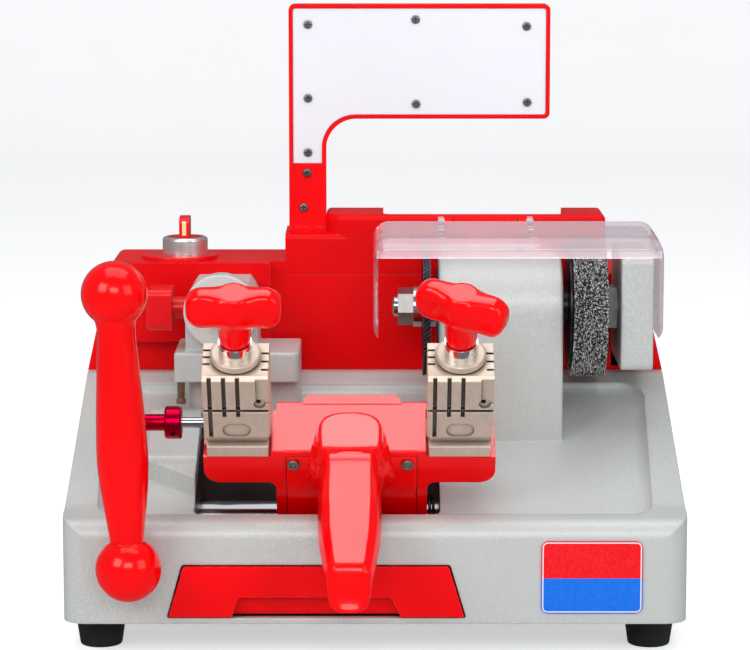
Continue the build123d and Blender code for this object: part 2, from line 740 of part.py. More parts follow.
@piece
def tracer_point():
    z0, z1 = TRACER_Z - 6, TRACER_Z + 6
    blade = [(TIP_X - 2.4, 97), (TIP_X - 2.4, 90), (TIP_X - 0.8, 88),
             (TIP_X + 0.8, 88), (TIP_X + 2.4, 90), (TIP_X + 2.4, 97)]
    point = on_tracer(TRACER_R, 98, 143) + box(TIP_X - 2.4, TRACER_X + 2, 96, 100, z0, z1)
    return point + prism("z", blade, z0, z1)


@piece
def tracer_lock_knob():
    y0, y1 = LOCK_PIN_Y - 13, LOCK_PIN_Y + 13
    z0, z1 = LOCK_PIN_Z - 12, LOCK_PIN_Z + 12
    knob = prism("x", [(y0, z0, 4), (y0, z1, 4), (y1, z1, 4), (y1, z0, 4)], -131.7, -116.7)
    knob = soft(knob, 2.5, lambda mid: mid.X < -131.6)
    return knob + cyl("x", LOCK_PIN_Y, LOCK_PIN_Z, LOCK_PIN_R, -116.7, -97)


@piece
def tracer_stop_screw():
    return (cyl("z", STOP_X, STOP_Y, STOP_R, 124, 146)
            + cyl("z", STOP_X, STOP_Y, 2.9, 121.5, 124))


# --------------------------------------------- carriage rod and its drive
PINION_R, PINION_TEETH = 20.0, 40
PITCH_Z = LEVER_Z + PINION_R            # pitch line of the rack
RACK_Y = (62, 72)
COLLAR_R, COLLAR_Y = 9.5, -5.5          # collar on the lever shaft
LEVER_L, LEVER_LEAN = 148.4, -2.2       # between ball centres; degrees
LOW_BALL_R, TOP_BALL_R = 17.8, 17.6
GRIP_TOP = 134.5                        # where the grip meets the top ball
# lever grip (radius, distance above the pivot ball's centre)
GRIP = [
    (9.8, 21), (11.6, 34), (13.1, 47.6), (13.8, 61), (13.1, 80.6), (12.1, 96),
    (11.3, 111), (10.5, 122), (10.3, 127.7), (11.0, 131.5)]


@piece
def carriage_rod():
    return soft(on_rod(ROD_R, -128, 75), 1.0, bevel=True)


@piece
def rod_bushes():
    return [ring(on_rod, BUSH_R, ROD_R + RUN, x, x + BUSH_L)
            for x in (WELL_X0 - BUSH_L, WELL_X1)]


@piece
def rack_bar():
    """Toothed bar over the pinion, with the clamp that joins it to the rod."""
    bottom, top = PITCH_Z + 1.4, PITCH_Z + 7
    rack = box(-135, -107.4, *RACK_Y, bottom, top)
    pitch = 2 * math.pi * PINION_R / PINION_TEETH
    root, crest = PITCH_Z + 1.5, PITCH_Z - 0.7
    for i in range(8):
        x = LEVER_X + (i - 0.5) * pitch
        tooth = [(x - 1.0, root), (x - 0.45, crest), (x + 0.45, crest), (x + 1.0, root)]
        rack = rack + prism("y", tooth, *RACK_Y)
    clamp = [(73.2, 47, 3), (97, 47, 3), (97, top, 3), (71.9, top), (71.9, bottom),
             (73.2, bottom)]
    return rack + prism("x", clamp, -122, -113) - on_rod(ROD_R, -130, -100)


@piece
def lever_pinion():
    root, crest = PINION_R - 1.7, PINION_R + 0.7
    step = 2 * math.pi / PINION_TEETH
    corners = []
    for i in range(PINION_TEETH):
        for part, radius in ((-0.36, root), (-0.14, crest), (0.14, crest), (0.36, root)):
            angle = math.pi / 2 + (i + part) * step
            corners.append((LEVER_X + radius * math.cos(angle),
                            LEVER_Z + radius * math.sin(angle)))
    return prism("y", corners, 62.4, 71.6) - on_lever(LEVER_R, 50, 80)


@piece
def lever_shaft():
    return on_lever(LEVER_R, -26, 72.2) + on_lever(COLLAR_R, COLLAR_Y, -0.6)


@piece
def lever_bushes():
    return [ring(on_lever, LEVER_BUSH_R, LEVER_R + RUN, y0, y1)
            for y0, y1 in ((0, 16), (50, 56))]


@piece
def ball_lever():
    """Turned along its own axis from the pivot ball up, then leaned; (radius, height)."""
    top = (0, LEVER_L + TOP_BALL_R)
    low_ball = [(0, -LOW_BALL_R)]
    for i in range(1, 17):
        angle = math.pi - i * math.pi / 16 * 0.84
        low_ball.append((LOW_BALL_R * math.sin(angle), LOW_BALL_R * math.cos(angle)))
    neck = (9.6, low_ball[-1][1] + 1.0)
    top_ball = []
    for i in range(12):
        angle = math.acos((GRIP_TOP - LEVER_L) / TOP_BALL_R) * (1 - i / 12)
        top_ball.append(
            (TOP_BALL_R * math.sin(angle), LEVER_L + TOP_BALL_R * math.cos(angle)))
    profile = [
        Spline(low_ball),
        Line(low_ball[-1], neck),
        Spline([neck] + GRIP + [top_ball[0]]),
        Spline(top_ball + [top]),
        Line(top, low_ball[0])]
    lever = revolve(Plane.XZ * make_face(profile), Axis.Z)
    lever = Pos(LEVER_X, LEVER_Y, LEVER_Z) * Rot(0, LEVER_LEAN, 0) * lever
    lever = lever - on_lever(LEVER_R, -26, 10)
    return lever - on_lever(COLLAR_R, COLLAR_Y, 10)


# --------------------------------------- carriage, in its upright frame
HUB_X = (-54.2, 28.7)
HUB_FRONT, HUB_TOP = -33, 83
SEAT_Z = 79.2                           # jaw seats
JAW_W, JAW_D = 35.5, 33.0
JAW_SPLIT, JAW_TOP = 112.3, 136.8       # top of the lower jaws and of the upper jaws
STUD_Y, STUD_R = -16.5, 4.0
SPRING_POCKET_R = 8.0
KNOB_Z = 149.0
KNOB_TURN = {"left": 0.0, "right": -25.0}
LOCK_Y, LOCK_Z, LOCK_R = -16.5, 89.5, 2.9
CAP_X, CAP_Z, CAP_R = (-44.4, 17.6), 74.6, 2.0      # cap screws of the paddle lever
PADDLE_X = -13.5
on_lock = partial(cyl, "x", LOCK_Y, LOCK_Z)


def hub_block():
    side = [(-33, 24, 8), (-33, 83, 2), (8, 83, 2), (12, 20, 10), (14.5, 0),
            (10.3, -10.3), (0, -14.6), (-10.3, -10.3), (-14.5, 0)]
    top_band = [(-40, 5), (-40, 8), (-36.5, 12.2, 1), (10.9, 12.2, 1), (14.5, 8), (14.5, 5)]
    left_wing = [(-93.3, 83, 1.5), (-50, 83), (-50, 60), (-93.3, 60, 9)]
    right_wing = [(24, 83), (65.6, 83, 1.5), (65.6, 60, 9), (24, 60)]
    hub = prism("x", side, *HUB_X)
    hub = hub + cyl("x", 0, 0, 15, *HUB_X)
    hub = hub + prism("z", top_band, 78, 83.4)
    for wing in (left_wing, right_wing):
        hub = hub + prism("y", wing, HUB_FRONT, 0)
    # corners under the wings
    return soft(hub, 4.5, lambda mid: (
        min(abs(mid.X - x) for x in HUB_X) < 0.2
        and abs(mid.Z - 60) < 0.2 and -34 < mid.Y < 1))


@piece
def carriage_body():
    hub = hub_block()
    # recess for the paddle lever's flange
    hub = hub - box(-48.5, 23.0, -34, -30, 22.1, 79.7)
    # jaw seats
    hub = hub - box(-95, JAW_X["left"] + JAW_W / 2 + 0.3, -34, 1, SEAT_Z, 84)
    hub = hub - box(JAW_X["right"] - JAW_W / 2 - 0.3, 67, -34, 1, SEAT_Z, 84)
    hub = hub - cyl("x", 0, 0, ROD_R + RUN, -60, 40)
    hub = soft(hub, 1.2, lambda mid: abs(mid.Z - HUB_TOP) < 0.1 and mid.Y < -32.9)
    for x in CAP_X:
        hub = hub - cyl("y", x, CAP_Z, CAP_R, -34, -20)
    return tilt(hub)


@piece
def paddle_lever():
    """Flange on the carriage's front, with an arm reaching to the front."""
    flange = prism("y", [
        (-48.4, 22.2, 3), (-48.4, 79.6, 2), (22.9, 79.6, 2), (22.9, 22.2, 3)], -33.4, -30)
    for x in CAP_X:
        flange = flange - cyl("y", x, CAP_Z, CAP_R, -40, -29)
    arm_side = [
        (-35, 95, 4), (-46, 95.5, 4), (-72, 87, 12), (-118, 81, 20), (-134, 78.5, 5),
        (-135.6, 66, 5), (-120, 61.5, 10), (-72, 62, 15), (-46, 58, 8), (-35, 54)]
    arm_plan = [
        (PADDLE_X - 16.5, -34), (PADDLE_X - 17, -88, 20), (PADDLE_X - 10.8, -137, 9),
        (PADDLE_X + 10.8, -137, 9), (PADDLE_X + 17, -88, 20), (PADDLE_X + 16.5, -34)]
    head = [(-35.5, 79), (-35.5, 96, 8), (-5, 93, 6), (-5, 83.1), (-33.0, 83.1), (-33.0, 79)]
    gusset = [(PADDLE_X - 22, -36), (PADDLE_X - 16, -52),
              (PADDLE_X + 16, -52), (PADDLE_X + 22, -36)]
    arm = prism("x", arm_side, PADDLE_X - 17, PADDLE_X + 17)
    arm = arm & prism("z", arm_plan, 40, 110)
    arm = arm + prism("x", head, PADDLE_X - 16, PADDLE_X + 16)
    arm = soft(arm, 3.0, lambda mid: mid.Y < -50 and mid.Z > 70)
    return tilt(flange + arm + prism("z", gusset, 55, 78))


@piece
def paddle_screws():
    screws = []
    for x in CAP_X:
        screw = cyl("y", x, CAP_Z, CAP_R, -33.4, -21) + cyl("y", x, CAP_Z, 3.4, -35.6, -33.4)
        screw = soft(screw, 0.6, lambda mid: mid.Y < -35.5)
        screws.append(tilt(screw - hexagon("y", x, CAP_Z, 3.2, -37, -34.2)))
    return screws


# ------------------------------------------------------------------- jaws
JAW_SLOTS = (2.8, 10.4, 17.8)           # slots in the front faces, from the left side
SLOT_W = 2.2


def lower_jaw(side):
    x = JAW_X[side]
    x0, x1 = x - JAW_W / 2, x + JAW_W / 2
    jaw = box(x0 + 1, x1 - 1, -JAW_D, 0, SEAT_Z, 86.8)
    jaw = jaw + box(x0 + 1.5, x1 - 1.5, -JAW_D + 4.5, 0, 86.8, 93.8)
    jaw = jaw + box(x0, x1, -JAW_D, 0, 93.8, JAW_SPLIT)
    jaw = soft(jaw, 0.7, lambda mid: mid.Y < -JAW_D + 0.1)
    # rounded pocket and three slots in the front face, the left slot full height
    pocket = rect(x - 7.6, x + 7.6, 94.5, 104.0, 4.6)
    jaw = jaw - prism("y", pocket, -JAW_D - 1, -JAW_D + 0.9)
    for slot, bottom in zip(JAW_SLOTS, (94.3, JAW_SPLIT - 3.4, JAW_SPLIT - 3.4)):
        jaw = jaw - box(x0 + slot, x0 + slot + SLOT_W, -JAW_D - 1, -JAW_D + 2.2,
                        bottom, JAW_SPLIT + 1)
    jaw = jaw - cyl("z", x, STUD_Y, STUD_R + RUN, 88, 120)
    jaw = jaw - cyl("z", x, STUD_Y, SPRING_POCKET_R, JAW_SPLIT - 8, 120)
    if side == "left":
        jaw = jaw - on_lock(LOCK_R + RUN, x0 - 5, x0 + 11.5)
    return jaw


def upper_jaw(side):
    x = JAW_X[side]
    x0, x1 = x - JAW_W / 2, x + JAW_W / 2
    bottom, top, front = JAW_SPLIT + 1.6, JAW_TOP, -JAW_D
    jaw = box(x0, x1, front, 0, bottom, top)
    jaw = soft(jaw, 2.4, lambda mid: mid.Y < front + 0.1 and mid.Z > top - 1, "x", bevel=True)
    jaw = soft(jaw, 0.6, lambda mid: mid.Y < front + 0.3 and mid.Z < top - 1)
    # sloped cut along the top's back edge
    back_cut = [(-4.5, top + 1), (-4.5, top), (0.5, top - 5.5), (0.5, top + 1)]
    jaw = jaw - prism("x", back_cut, x0 - 1, x1 + 1)
    # three slots in the front, and at the right a step with round recesses
    for slot in JAW_SLOTS:
        jaw = jaw - box(x0 + slot, x0 + slot + SLOT_W, front - 1, front + 2.6,
                        bottom - 1, top - 1.0)
    jaw = jaw - box(x1 - 7.0, x1 + 1, front - 1, front + 1.0, bottom + 4.6, top + 1)
    jaw = jaw - cyl("y", x1 - 5.0, bottom + 4.4, 3.2, front - 1, front + 1.4)
    jaw = jaw - cyl("y", x1 - 5.6, bottom + 5.2, 1.4, front - 1, front + 4)
    # notches across the top's side edges
    for y in (front + 11.0, front + 16.5, front + 22.0):
        jaw = jaw - box(x0 - 1, x0 + 4.0, y, y + 1.5, top - 1.4, top + 1)
    for y in (front + 6.5, front + 13.0, front + 19.5):
        jaw = jaw - box(x1 - 4.0, x1 + 1, y, y + 1.5, top - 1.4, top + 1)
    jaw = jaw - cyl("z", x, STUD_Y, STUD_R + RUN, bottom - 1, top + 1)
    return jaw - cyl("z", x, STUD_Y, SPRING_POCKET_R, bottom - 1, bottom + 7)


def clamp_stud(side):
    """Stud with its washer and collar."""
    x = JAW_X[side]
    stud = cyl("z", x, STUD_Y, 13.35, JAW_TOP, JAW_TOP + 4.5)
    stud = soft(stud, 1.2, lambda mid: math.hypot(mid.X - x, mid.Y - STUD_Y) > 11)
    stud = stud + cyl("z", x, STUD_Y, 9.15, JAW_TOP + 4.5, KNOB_Z)
    return stud + cyl("z", x, STUD_Y, STUD_R, 90, KNOB_Z)


def clamp_knob(side):
    """Two-winged knob on a round neck."""
    front = [(-25.5, -7.5, 7), (-14, -8.2, 6), (-8, -11.5, 6),
             (8, -11.5, 6), (14, -8.2, 6), (25.5, -7.5, 7)]
    back = [(x, -y, radius) for x, y, radius in reversed(front)]
    wings = prism("z", front + back, 161.0, 184.5)
    wings = soft(wings, 5.0, lambda mid: mid.Z > 184.4 or mid.Z < 161.1)
    knob = cyl("z", 0, 0, 8.6, KNOB_Z, 168.0) + wings
    return Pos(JAW_X[side], STUD_Y, 0) * Rot(0, 0, KNOB_TURN[side]) * knob


@piece
def jaw_springs():
    bottom = JAW_SPLIT - 7
    return [tilt(Pos(x, STUD_Y, bottom) * coil(radius=6.2, wire=1.2, pitch=3.1, height=12.4))
            for x in JAW_X.values()]


@piece
def lock_rod():
    return tilt(on_lock(LOCK_R, -122, -81.2))


@piece
def lock_knob():
    """Rounded disc with a collar on its left."""
    knob = soft(on_lock(9.0, -114.5, -105.2), 1.4)
    knob = knob + on_lock(4.6, -126.5, -114.5)
    knob = knob - on_lock(LOCK_R, -122, -100)
    return tilt(knob - cyl("y", -109.8, LOCK_Z, 1.4, -30, LOCK_Y - 3))


@piece
def carriage_spring():
    """A few turns round the rod, at the right of the hub."""
    spring = coil(radius=12.2, wire=1.6, pitch=2.1, height=4.4)
    return Pos(29.6, ROD_Y, ROD_Z) * Rot(0, 90, 0) * spring


# ----------------------------------------------------------------- export
os.makedirs("parts", exist_ok=True)
for build in PIECES:
    built = build()
    save(build.__name__, *(built if isinstance(built, list) else [built]))
for side in JAW_X:
    for build in (lower_jaw, upper_jaw, clamp_stud, clamp_knob):
        save(side + "_" + build.__name__, tilt(build(side)))
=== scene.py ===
"""Bench cutting machine: materials for its CAD pieces, and detailed meshes for the ball lever,
clamp knobs, brush, cutter and paddle lever.

X runs along the spindle, +Z is up and the machine's front faces -Y. The carriage leans to the
front about its rod. Its pieces are drawn upright, in millimetres from the rod axis, then tilted.
"""
import json
import math
import random

import bmesh
import bpy
import numpy as np
from mathutils import Matrix, Vector

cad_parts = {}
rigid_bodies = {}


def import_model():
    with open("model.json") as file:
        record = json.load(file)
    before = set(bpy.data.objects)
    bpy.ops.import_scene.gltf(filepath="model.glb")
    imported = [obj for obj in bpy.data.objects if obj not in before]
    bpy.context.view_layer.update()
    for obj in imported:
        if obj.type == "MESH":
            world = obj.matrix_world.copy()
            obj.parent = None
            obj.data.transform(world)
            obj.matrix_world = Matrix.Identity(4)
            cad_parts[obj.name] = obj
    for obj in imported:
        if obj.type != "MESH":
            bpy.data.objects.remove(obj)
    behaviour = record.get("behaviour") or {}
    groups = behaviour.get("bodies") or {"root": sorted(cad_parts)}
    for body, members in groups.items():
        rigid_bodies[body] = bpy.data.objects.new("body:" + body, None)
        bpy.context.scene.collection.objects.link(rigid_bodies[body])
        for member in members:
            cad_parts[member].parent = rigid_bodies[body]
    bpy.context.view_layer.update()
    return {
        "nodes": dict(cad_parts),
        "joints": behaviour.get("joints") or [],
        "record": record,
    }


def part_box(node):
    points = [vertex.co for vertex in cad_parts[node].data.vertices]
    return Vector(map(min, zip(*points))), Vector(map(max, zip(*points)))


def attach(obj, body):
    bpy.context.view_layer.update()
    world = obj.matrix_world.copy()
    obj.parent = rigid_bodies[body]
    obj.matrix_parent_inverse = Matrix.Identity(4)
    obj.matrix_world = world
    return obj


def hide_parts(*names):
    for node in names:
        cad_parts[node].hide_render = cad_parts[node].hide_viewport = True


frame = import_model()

NODES = frame["nodes"]
JOINTS = {joint["name"]: joint for joint in frame["joints"]}
SLOT_OF = {part["node"]: part["material_slot"] for part in frame["record"]["subparts"]}


def joint_mm(name):
    return Vector(JOINTS[name]["pos_m"]) * 1000.0


BASE_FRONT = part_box("base_casting")[0].y * 1000.0  # Y of the base's front face, mm
TILT = math.radians(33)
ROD = joint_mm("carriage_tilt")  # mm


# ------------------------------------------------------------------ shader nodes
class Nodes:
    """Short calls for adding linked nodes to a node tree."""

    def __init__(self, tree):
        self.tree = tree

    def feed(self, socket, value):
        if isinstance(value, bpy.types.NodeSocket):
            self.tree.links.new(value, socket)
        elif socket.type == "RGBA":
            socket.default_value = (*value, 1)
        else:
            socket.default_value = value

    def node(self, kind, inputs=None, **settings):
        node = self.tree.nodes.new("ShaderNode" + kind)
        for key, value in settings.items():
            setattr(node, key, value)
        for key, value in (inputs or {}).items():
            self.feed(node.inputs[key], value)
        return node

    def math(self, operation, a, b=0.0):
        return self.node("Math", {0: a, 1: b}, operation=operation).outputs[0]

    def add(self, a, b):
        return self.math("ADD", a, b)

    def sub(self, a, b):
        return self.math("SUBTRACT", a, b)

    def mul(self, product, *factors):
        for factor in factors:
            product = self.math("MULTIPLY", product, factor)
        return product

    def less(self, a, b):
        return self.math("LESS_THAN", a, b)

    def greater(self, a, b):
        return self.math("GREATER_THAN", a, b)

    def between(self, value, low, high):
        return self.mul(self.greater(value, low), self.less(value, high))


MATERIALS = {}


class Graph(Nodes):
    """A new material's node tree, mapped by object coordinates."""

    def __init__(self, name):
        self.name = name
        self.material = bpy.data.materials.new(name)
        self.material.use_nodes = True
        super().__init__(self.material.node_tree)
        self.tree.nodes.clear()
        self.output = self.node("OutputMaterial")
        self.coords = self.node("TexCoord").outputs["Object"]

    def axes(self, vector=None):
        return self.node("SeparateXYZ", {0: vector or self.coords}).outputs

    def noise(self, scale, detail=3.0, roughness=0.5, vector=None):
        inputs = {"Vector": vector or self.coords, "Scale": scale,
                  "Detail": detail, "Roughness": roughness}
        return self.node("TexNoise", inputs).outputs["Fac"]

    def ramp(self, factor, low, high, colors=((0, 0, 0), (1, 1, 1))):
        node = self.node("ValToRGB", {"Fac": factor})
        for element, position, color in zip(node.color_ramp.elements, (low, high), colors):
            element.position = position
            element.color = (*color, 1)
        return node.outputs["Color"]

    def mix(self, factor, a, b):
        node = self.node("Mix", data_type="RGBA")
        inputs = {socket.identifier: socket for socket in node.inputs}
        self.feed(inputs["Factor_Float"], factor)
        self.feed(inputs["A_Color"], a)
        self.feed(inputs["B_Color"], b)
        return next(out for out in node.outputs if out.identifier == "Result_Color")

    def mix_shaders(self, factor, a, b):
        return self.node("MixShader", {0: factor, 1: a, 2: b}).outputs[0]

    def remap(self, value, low, high, from_low=0.0, from_high=1.0):
        inputs = {"Value": value, "From Min": from_low, "From Max": from_high,
                  "To Min": low, "To Max": high}
        return self.node("MapRange", inputs).outputs["Result"]

    def shortfall(self, value, gain, limit):
        """How far value falls below 1, amplified and capped."""
        return self.math("MINIMUM", self.mul(self.sub(1.0, value), gain), limit)

    def bevel(self, radius, samples=4):
        return self.node("Bevel", {"Radius": radius}, samples=samples).outputs["Normal"]

    def edge(self, radius, gain):
        """1 along edges, 0 on flats."""
        inputs = {0: self.bevel(radius, samples=6),
                  1: self.node("NewGeometry").outputs["Normal"]}
        alignment = self.node("VectorMath", inputs, operation="DOT_PRODUCT").outputs["Value"]
        return self.shortfall(alignment, gain, limit=1.0)

    def bump(self, height, distance, strength, bevel=None):
        inputs = {"Height": height, "Distance": distance, "Strength": strength}
        if bevel is not None:
            inputs["Normal"] = self.bevel(bevel)
        return self.node("Bump", inputs).outputs["Normal"]

    INPUT_NAMES = {
        "color": "Base Color", "metallic": "Metallic", "roughness": "Roughness",
        "coat": "Coat Weight", "coat_roughness": "Coat Roughness", "coat_ior": "Coat IOR",
        "normal": "Normal", "specular": "Specular IOR Level", "sheen": "Sheen Weight",
        "emission": "Emission Color", "emission_strength": "Emission Strength",
        "subsurface": "Subsurface Weight", "subsurface_scale": "Subsurface Scale"}

    def principled(self, **inputs):
        named = {self.INPUT_NAMES[key]: value for key, value in inputs.items()}
        return self.node("BsdfPrincipled", named).outputs["BSDF"]

    def finish(self, shader):
        self.feed(self.output.inputs["Surface"], shader)
        MATERIALS[self.name] = self.material


def shade(color, factor, lift=0.0):
    return tuple(min(1, channel * factor + lift) for channel in color)


# --------------------------------------------------------------------- materials
# Texture distances and bevel radii are in metres.
def red_paint(name, deep, bright, roughness, coat, wear, specular, peel=0.00006, peel_scale=420):
    """Red paint with orange peel, scratched pale along its edges."""
    g = Graph(name)
    color = g.mix(g.ramp(g.noise(scale=14, detail=2), low=0.35, high=0.7), deep, bright)
    edge = g.edge(radius=0.0013, gain=5.0)
    scratches = g.ramp(g.noise(scale=700, detail=4, roughness=0.65), low=0.45, high=0.62)
    color = g.mix(g.mul(edge, g.mul(scratches, wear)), color, (1.0, 0.18, 0.17))
    patches = g.noise(scale=60, detail=5, roughness=0.6)
    g.finish(g.principled(
        color=color, roughness=g.remap(patches, roughness - 0.06, roughness + 0.09),
        coat=coat, coat_roughness=0.07, coat_ior=1.27, specular=specular,
        normal=g.bump(g.noise(peel_scale, detail=2.5), peel, strength=0.55, bevel=0.0011)))


def hammertone():
    """Dimpled grey-green paint, with painted shade in the carriage well and inside the casting.
    """
    g = Graph("hammertone")
    cells = g.node("TexVoronoi", {"Vector": g.coords, "Scale": 880, "Smoothness": 0.55},
                   feature="SMOOTH_F1").outputs["Distance"]
    fine = g.noise(scale=1500, roughness=0.55)
    dimples = g.add(g.mul(cells, 0.75), g.mul(fine, 0.35))
    color = g.mix(g.ramp(dimples, low=0.25, high=0.75),
                  (0.45, 0.475, 0.462), (0.565, 0.59, 0.575))
    color = g.mix(g.ramp(g.noise(scale=9, detail=2), low=0.3, high=0.8),
                  color, (0.515, 0.54, 0.528))
    edge = g.edge(radius=0.0015, gain=4.0)
    color = g.mix(g.mul(edge, 0.35), color, (0.85, 0.88, 0.87))

    # Painted shade fills a box under a ceiling that rises to the back, mm from the base front.
    x, y, z = (g.mul(axis, 1000.0) for axis in g.axes())
    y = g.sub(y, BASE_FRONT)
    in_plan = g.mul(g.between(x, low=-100.3, high=36.6), g.between(y, low=27.4, high=118.6))
    slope, start_y, start_z = 0.4025, 18.0, 68.6
    ceiling = g.add(g.mul(g.sub(y, start_y), slope), start_z)
    well = g.mul(in_plan, g.less(z, ceiling))
    color = g.mix(g.mul(well, 0.93), color, (0.012, 0.012, 0.014))
    g.finish(g.principled(
        color=color, roughness=g.remap(g.noise(scale=260, detail=4), low=0.36, high=0.52),
        metallic=0.12, coat=0.2, coat_roughness=0.25,
        normal=g.bump(dimples, distance=0.00016, strength=0.62, bevel=0.0016)))


def steel(name, color, roughness, stretch=(1, 1, 1), metallic=1.0, relief=0.00001, variation=0.08,
          bevel=0.0004, scale=90, grime=None, crevice_shade=None, lower=None):
    """Metal with streaks squeezed along the axes of stretch.

    grime colours blotches, crevice_shade paints shade into hollows, and lower is a second
    finish below a height measured up the tilted carriage, mm from the rod.
    """
    g = Graph(name)
    stretched = g.node("Mapping", {"Vector": g.coords, "Scale": stretch}).outputs["Vector"]
    streaks = g.noise(scale, detail=5, roughness=0.6, vector=stretched)
    tint = g.mix(g.ramp(streaks, low=0.3, high=0.72),
                 shade(color, 1 - variation * 1.6), shade(color, 1 + variation))
    tint = g.mix(g.mul(g.edge(radius=0.0006, gain=5.0), 0.5), tint, shade(color, 1.35))
    if grime:
        blotches = g.ramp(g.noise(scale=45, detail=4, roughness=0.6), low=0.52, high=0.75)
        tint = g.mix(g.mul(blotches, 0.6), tint, grime)
    rough = g.remap(streaks, max(0.03, roughness - 0.07), roughness + 0.09)
    metal = metallic
    if lower:
        _, y, z = g.axes()
        rise_y = g.mul(g.sub(g.mul(y, 1000.0), ROD.y), -math.sin(TILT))
        rise_z = g.mul(g.sub(g.mul(z, 1000.0), ROD.z), math.cos(TILT))
        low = g.less(g.add(rise_y, rise_z), lower["height"])
        tint = g.mix(low, tint, lower["color"])
        rough = g.add(rough, g.mul(low, lower["roughness"] - roughness))
        metal = g.add(metallic, g.mul(low, lower["metallic"] - metallic))
    # Painted shade: hollows found by ambient occlusion darken towards the given colour
    if crevice_shade:
        openness = g.node("AmbientOcclusion", {"Distance": crevice_shade["distance"]},
                          samples=8).outputs["AO"]
        tint = g.mix(g.shortfall(openness, crevice_shade["gain"], limit=0.95),
                     tint, crevice_shade["color"])
    g.finish(g.principled(color=tint, roughness=rough, metallic=metal,
                          normal=g.bump(streaks, relief, strength=0.5, bevel=bevel)))


def plastic(name, color, roughness, grain=900, relief=0.00003, coat=0.0, variation=0.12,
            line=None):
    """Grained plastic or rubber. line is an inlaid strip of another colour, placed in metres."""
    g = Graph(name)
    tint = g.mix(g.ramp(g.noise(scale=30), low=0.3, high=0.75),
                 shade(color, 1 - variation), shade(color, 1 + variation))
    edge = g.edge(radius=0.0007, gain=4.0)
    tint = g.mix(g.mul(edge, 0.18), tint, shade(color, 1.5, lift=0.06))
    if line:
        x, y, z = g.axes()
        offset = g.math("ABSOLUTE", g.sub(x, line["centre_x"]))
        strip = g.mul(g.less(offset, line["half_width"]),
                      g.less(y, line["below_y"]), g.greater(z, line["above_z"]))
        tint = g.mix(strip, tint, line["color"])
    g.finish(g.principled(
        color=tint, roughness=g.remap(g.noise(scale=140, detail=4),
                                      roughness - 0.05, roughness + 0.08),
        coat=coat, coat_roughness=0.08, subsurface_scale=0.003, specular=0.3,
        normal=g.bump(g.noise(grain), relief, strength=0.5, bevel=0.0005)))


def belt_ribbed():
    """Black belt with fine slanting ribs, grey on their crests."""
    rib_pitch, slant = 0.0021, 0.55
    g = Graph("belt_ribbed")
    x, _, z = g.axes()
    along = g.add(g.mul(z, 1.0), g.mul(x, slant))
    wave = g.math("SINE", g.mul(along, 2 * math.pi / rib_pitch))
    crest = g.remap(wave, low=0.0, high=1.0, from_low=-1.0, from_high=1.0)
    g.finish(g.principled(
        color=g.mix(crest, (0.012, 0.012, 0.013), (0.10, 0.10, 0.105)),
        roughness=0.6, specular=0.3,
        normal=g.bump(crest, distance=0.0003, strength=0.9, bevel=0.0004)))


def white_panel():
    """Off-white panel with a faint glow."""
    g = Graph("white_panel")
    color = g.mix(g.ramp(g.noise(scale=7, detail=2), low=0.3, high=0.8),
                  (0.73, 0.73, 0.775), (0.77, 0.77, 0.81))
    g.finish(g.principled(
        color=color, roughness=g.remap(g.noise(scale=200), low=0.3, high=0.42),
        subsurface=0.25, subsurface_scale=0.004, specular=0.3,
        emission=(0.95, 0.96, 1.0), emission_strength=0.02,
        normal=g.bump(g.noise(scale=1300), distance=0.00002, strength=0.4, bevel=0.0006)))


def plate_print():
    """Two-colour plate: red above, blue below, a pale line round the edge."""
    corner = 0.0035
    split_z = -0.0005  # from the plate's centre
    line_outer, line_inner = 0.0006, 0.00125  # in from the rim
    low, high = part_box("nameplate")
    g = Graph("plate_print")
    x, _, z = g.axes()
    z = g.sub(z, (low.z + high.z) / 2)
    x = g.sub(x, (low.x + high.x) / 2)
    color = g.mix(g.greater(z, split_z), (0.0, 0.145, 0.72), (0.80, 0.0, 0.006))

    # Distance outside the rectangle that joins the corner centres
    def outside(axis, half_size):
        return g.math("MAXIMUM", g.sub(g.math("ABSOLUTE", axis), half_size - corner), 0.0)

    out_x = outside(x, (high.x - low.x) / 2)
    out_z = outside(z, (high.z - low.z) / 2)
    distance = g.math("SQRT", g.add(g.mul(out_x, out_x), g.mul(out_z, out_z)))
    border = g.between(distance, corner - line_inner, corner - line_outer)
    color = g.mix(border, color, (0.75, 0.7, 0.78))
    specks = g.ramp(g.noise(scale=600), low=0.4, high=0.8)
    color = g.mix(g.mul(specks, 0.04), color, (0.5, 0.5, 0.6))
    g.finish(g.principled(
        color=color, roughness=g.remap(g.noise(scale=90), low=0.3, high=0.42),
        coat=0.15, coat_roughness=0.1, specular=0.2,
        normal=g.bump(g.noise(scale=900, detail=2), distance=0.00002, strength=0.4,
                      bevel=0.0005)))


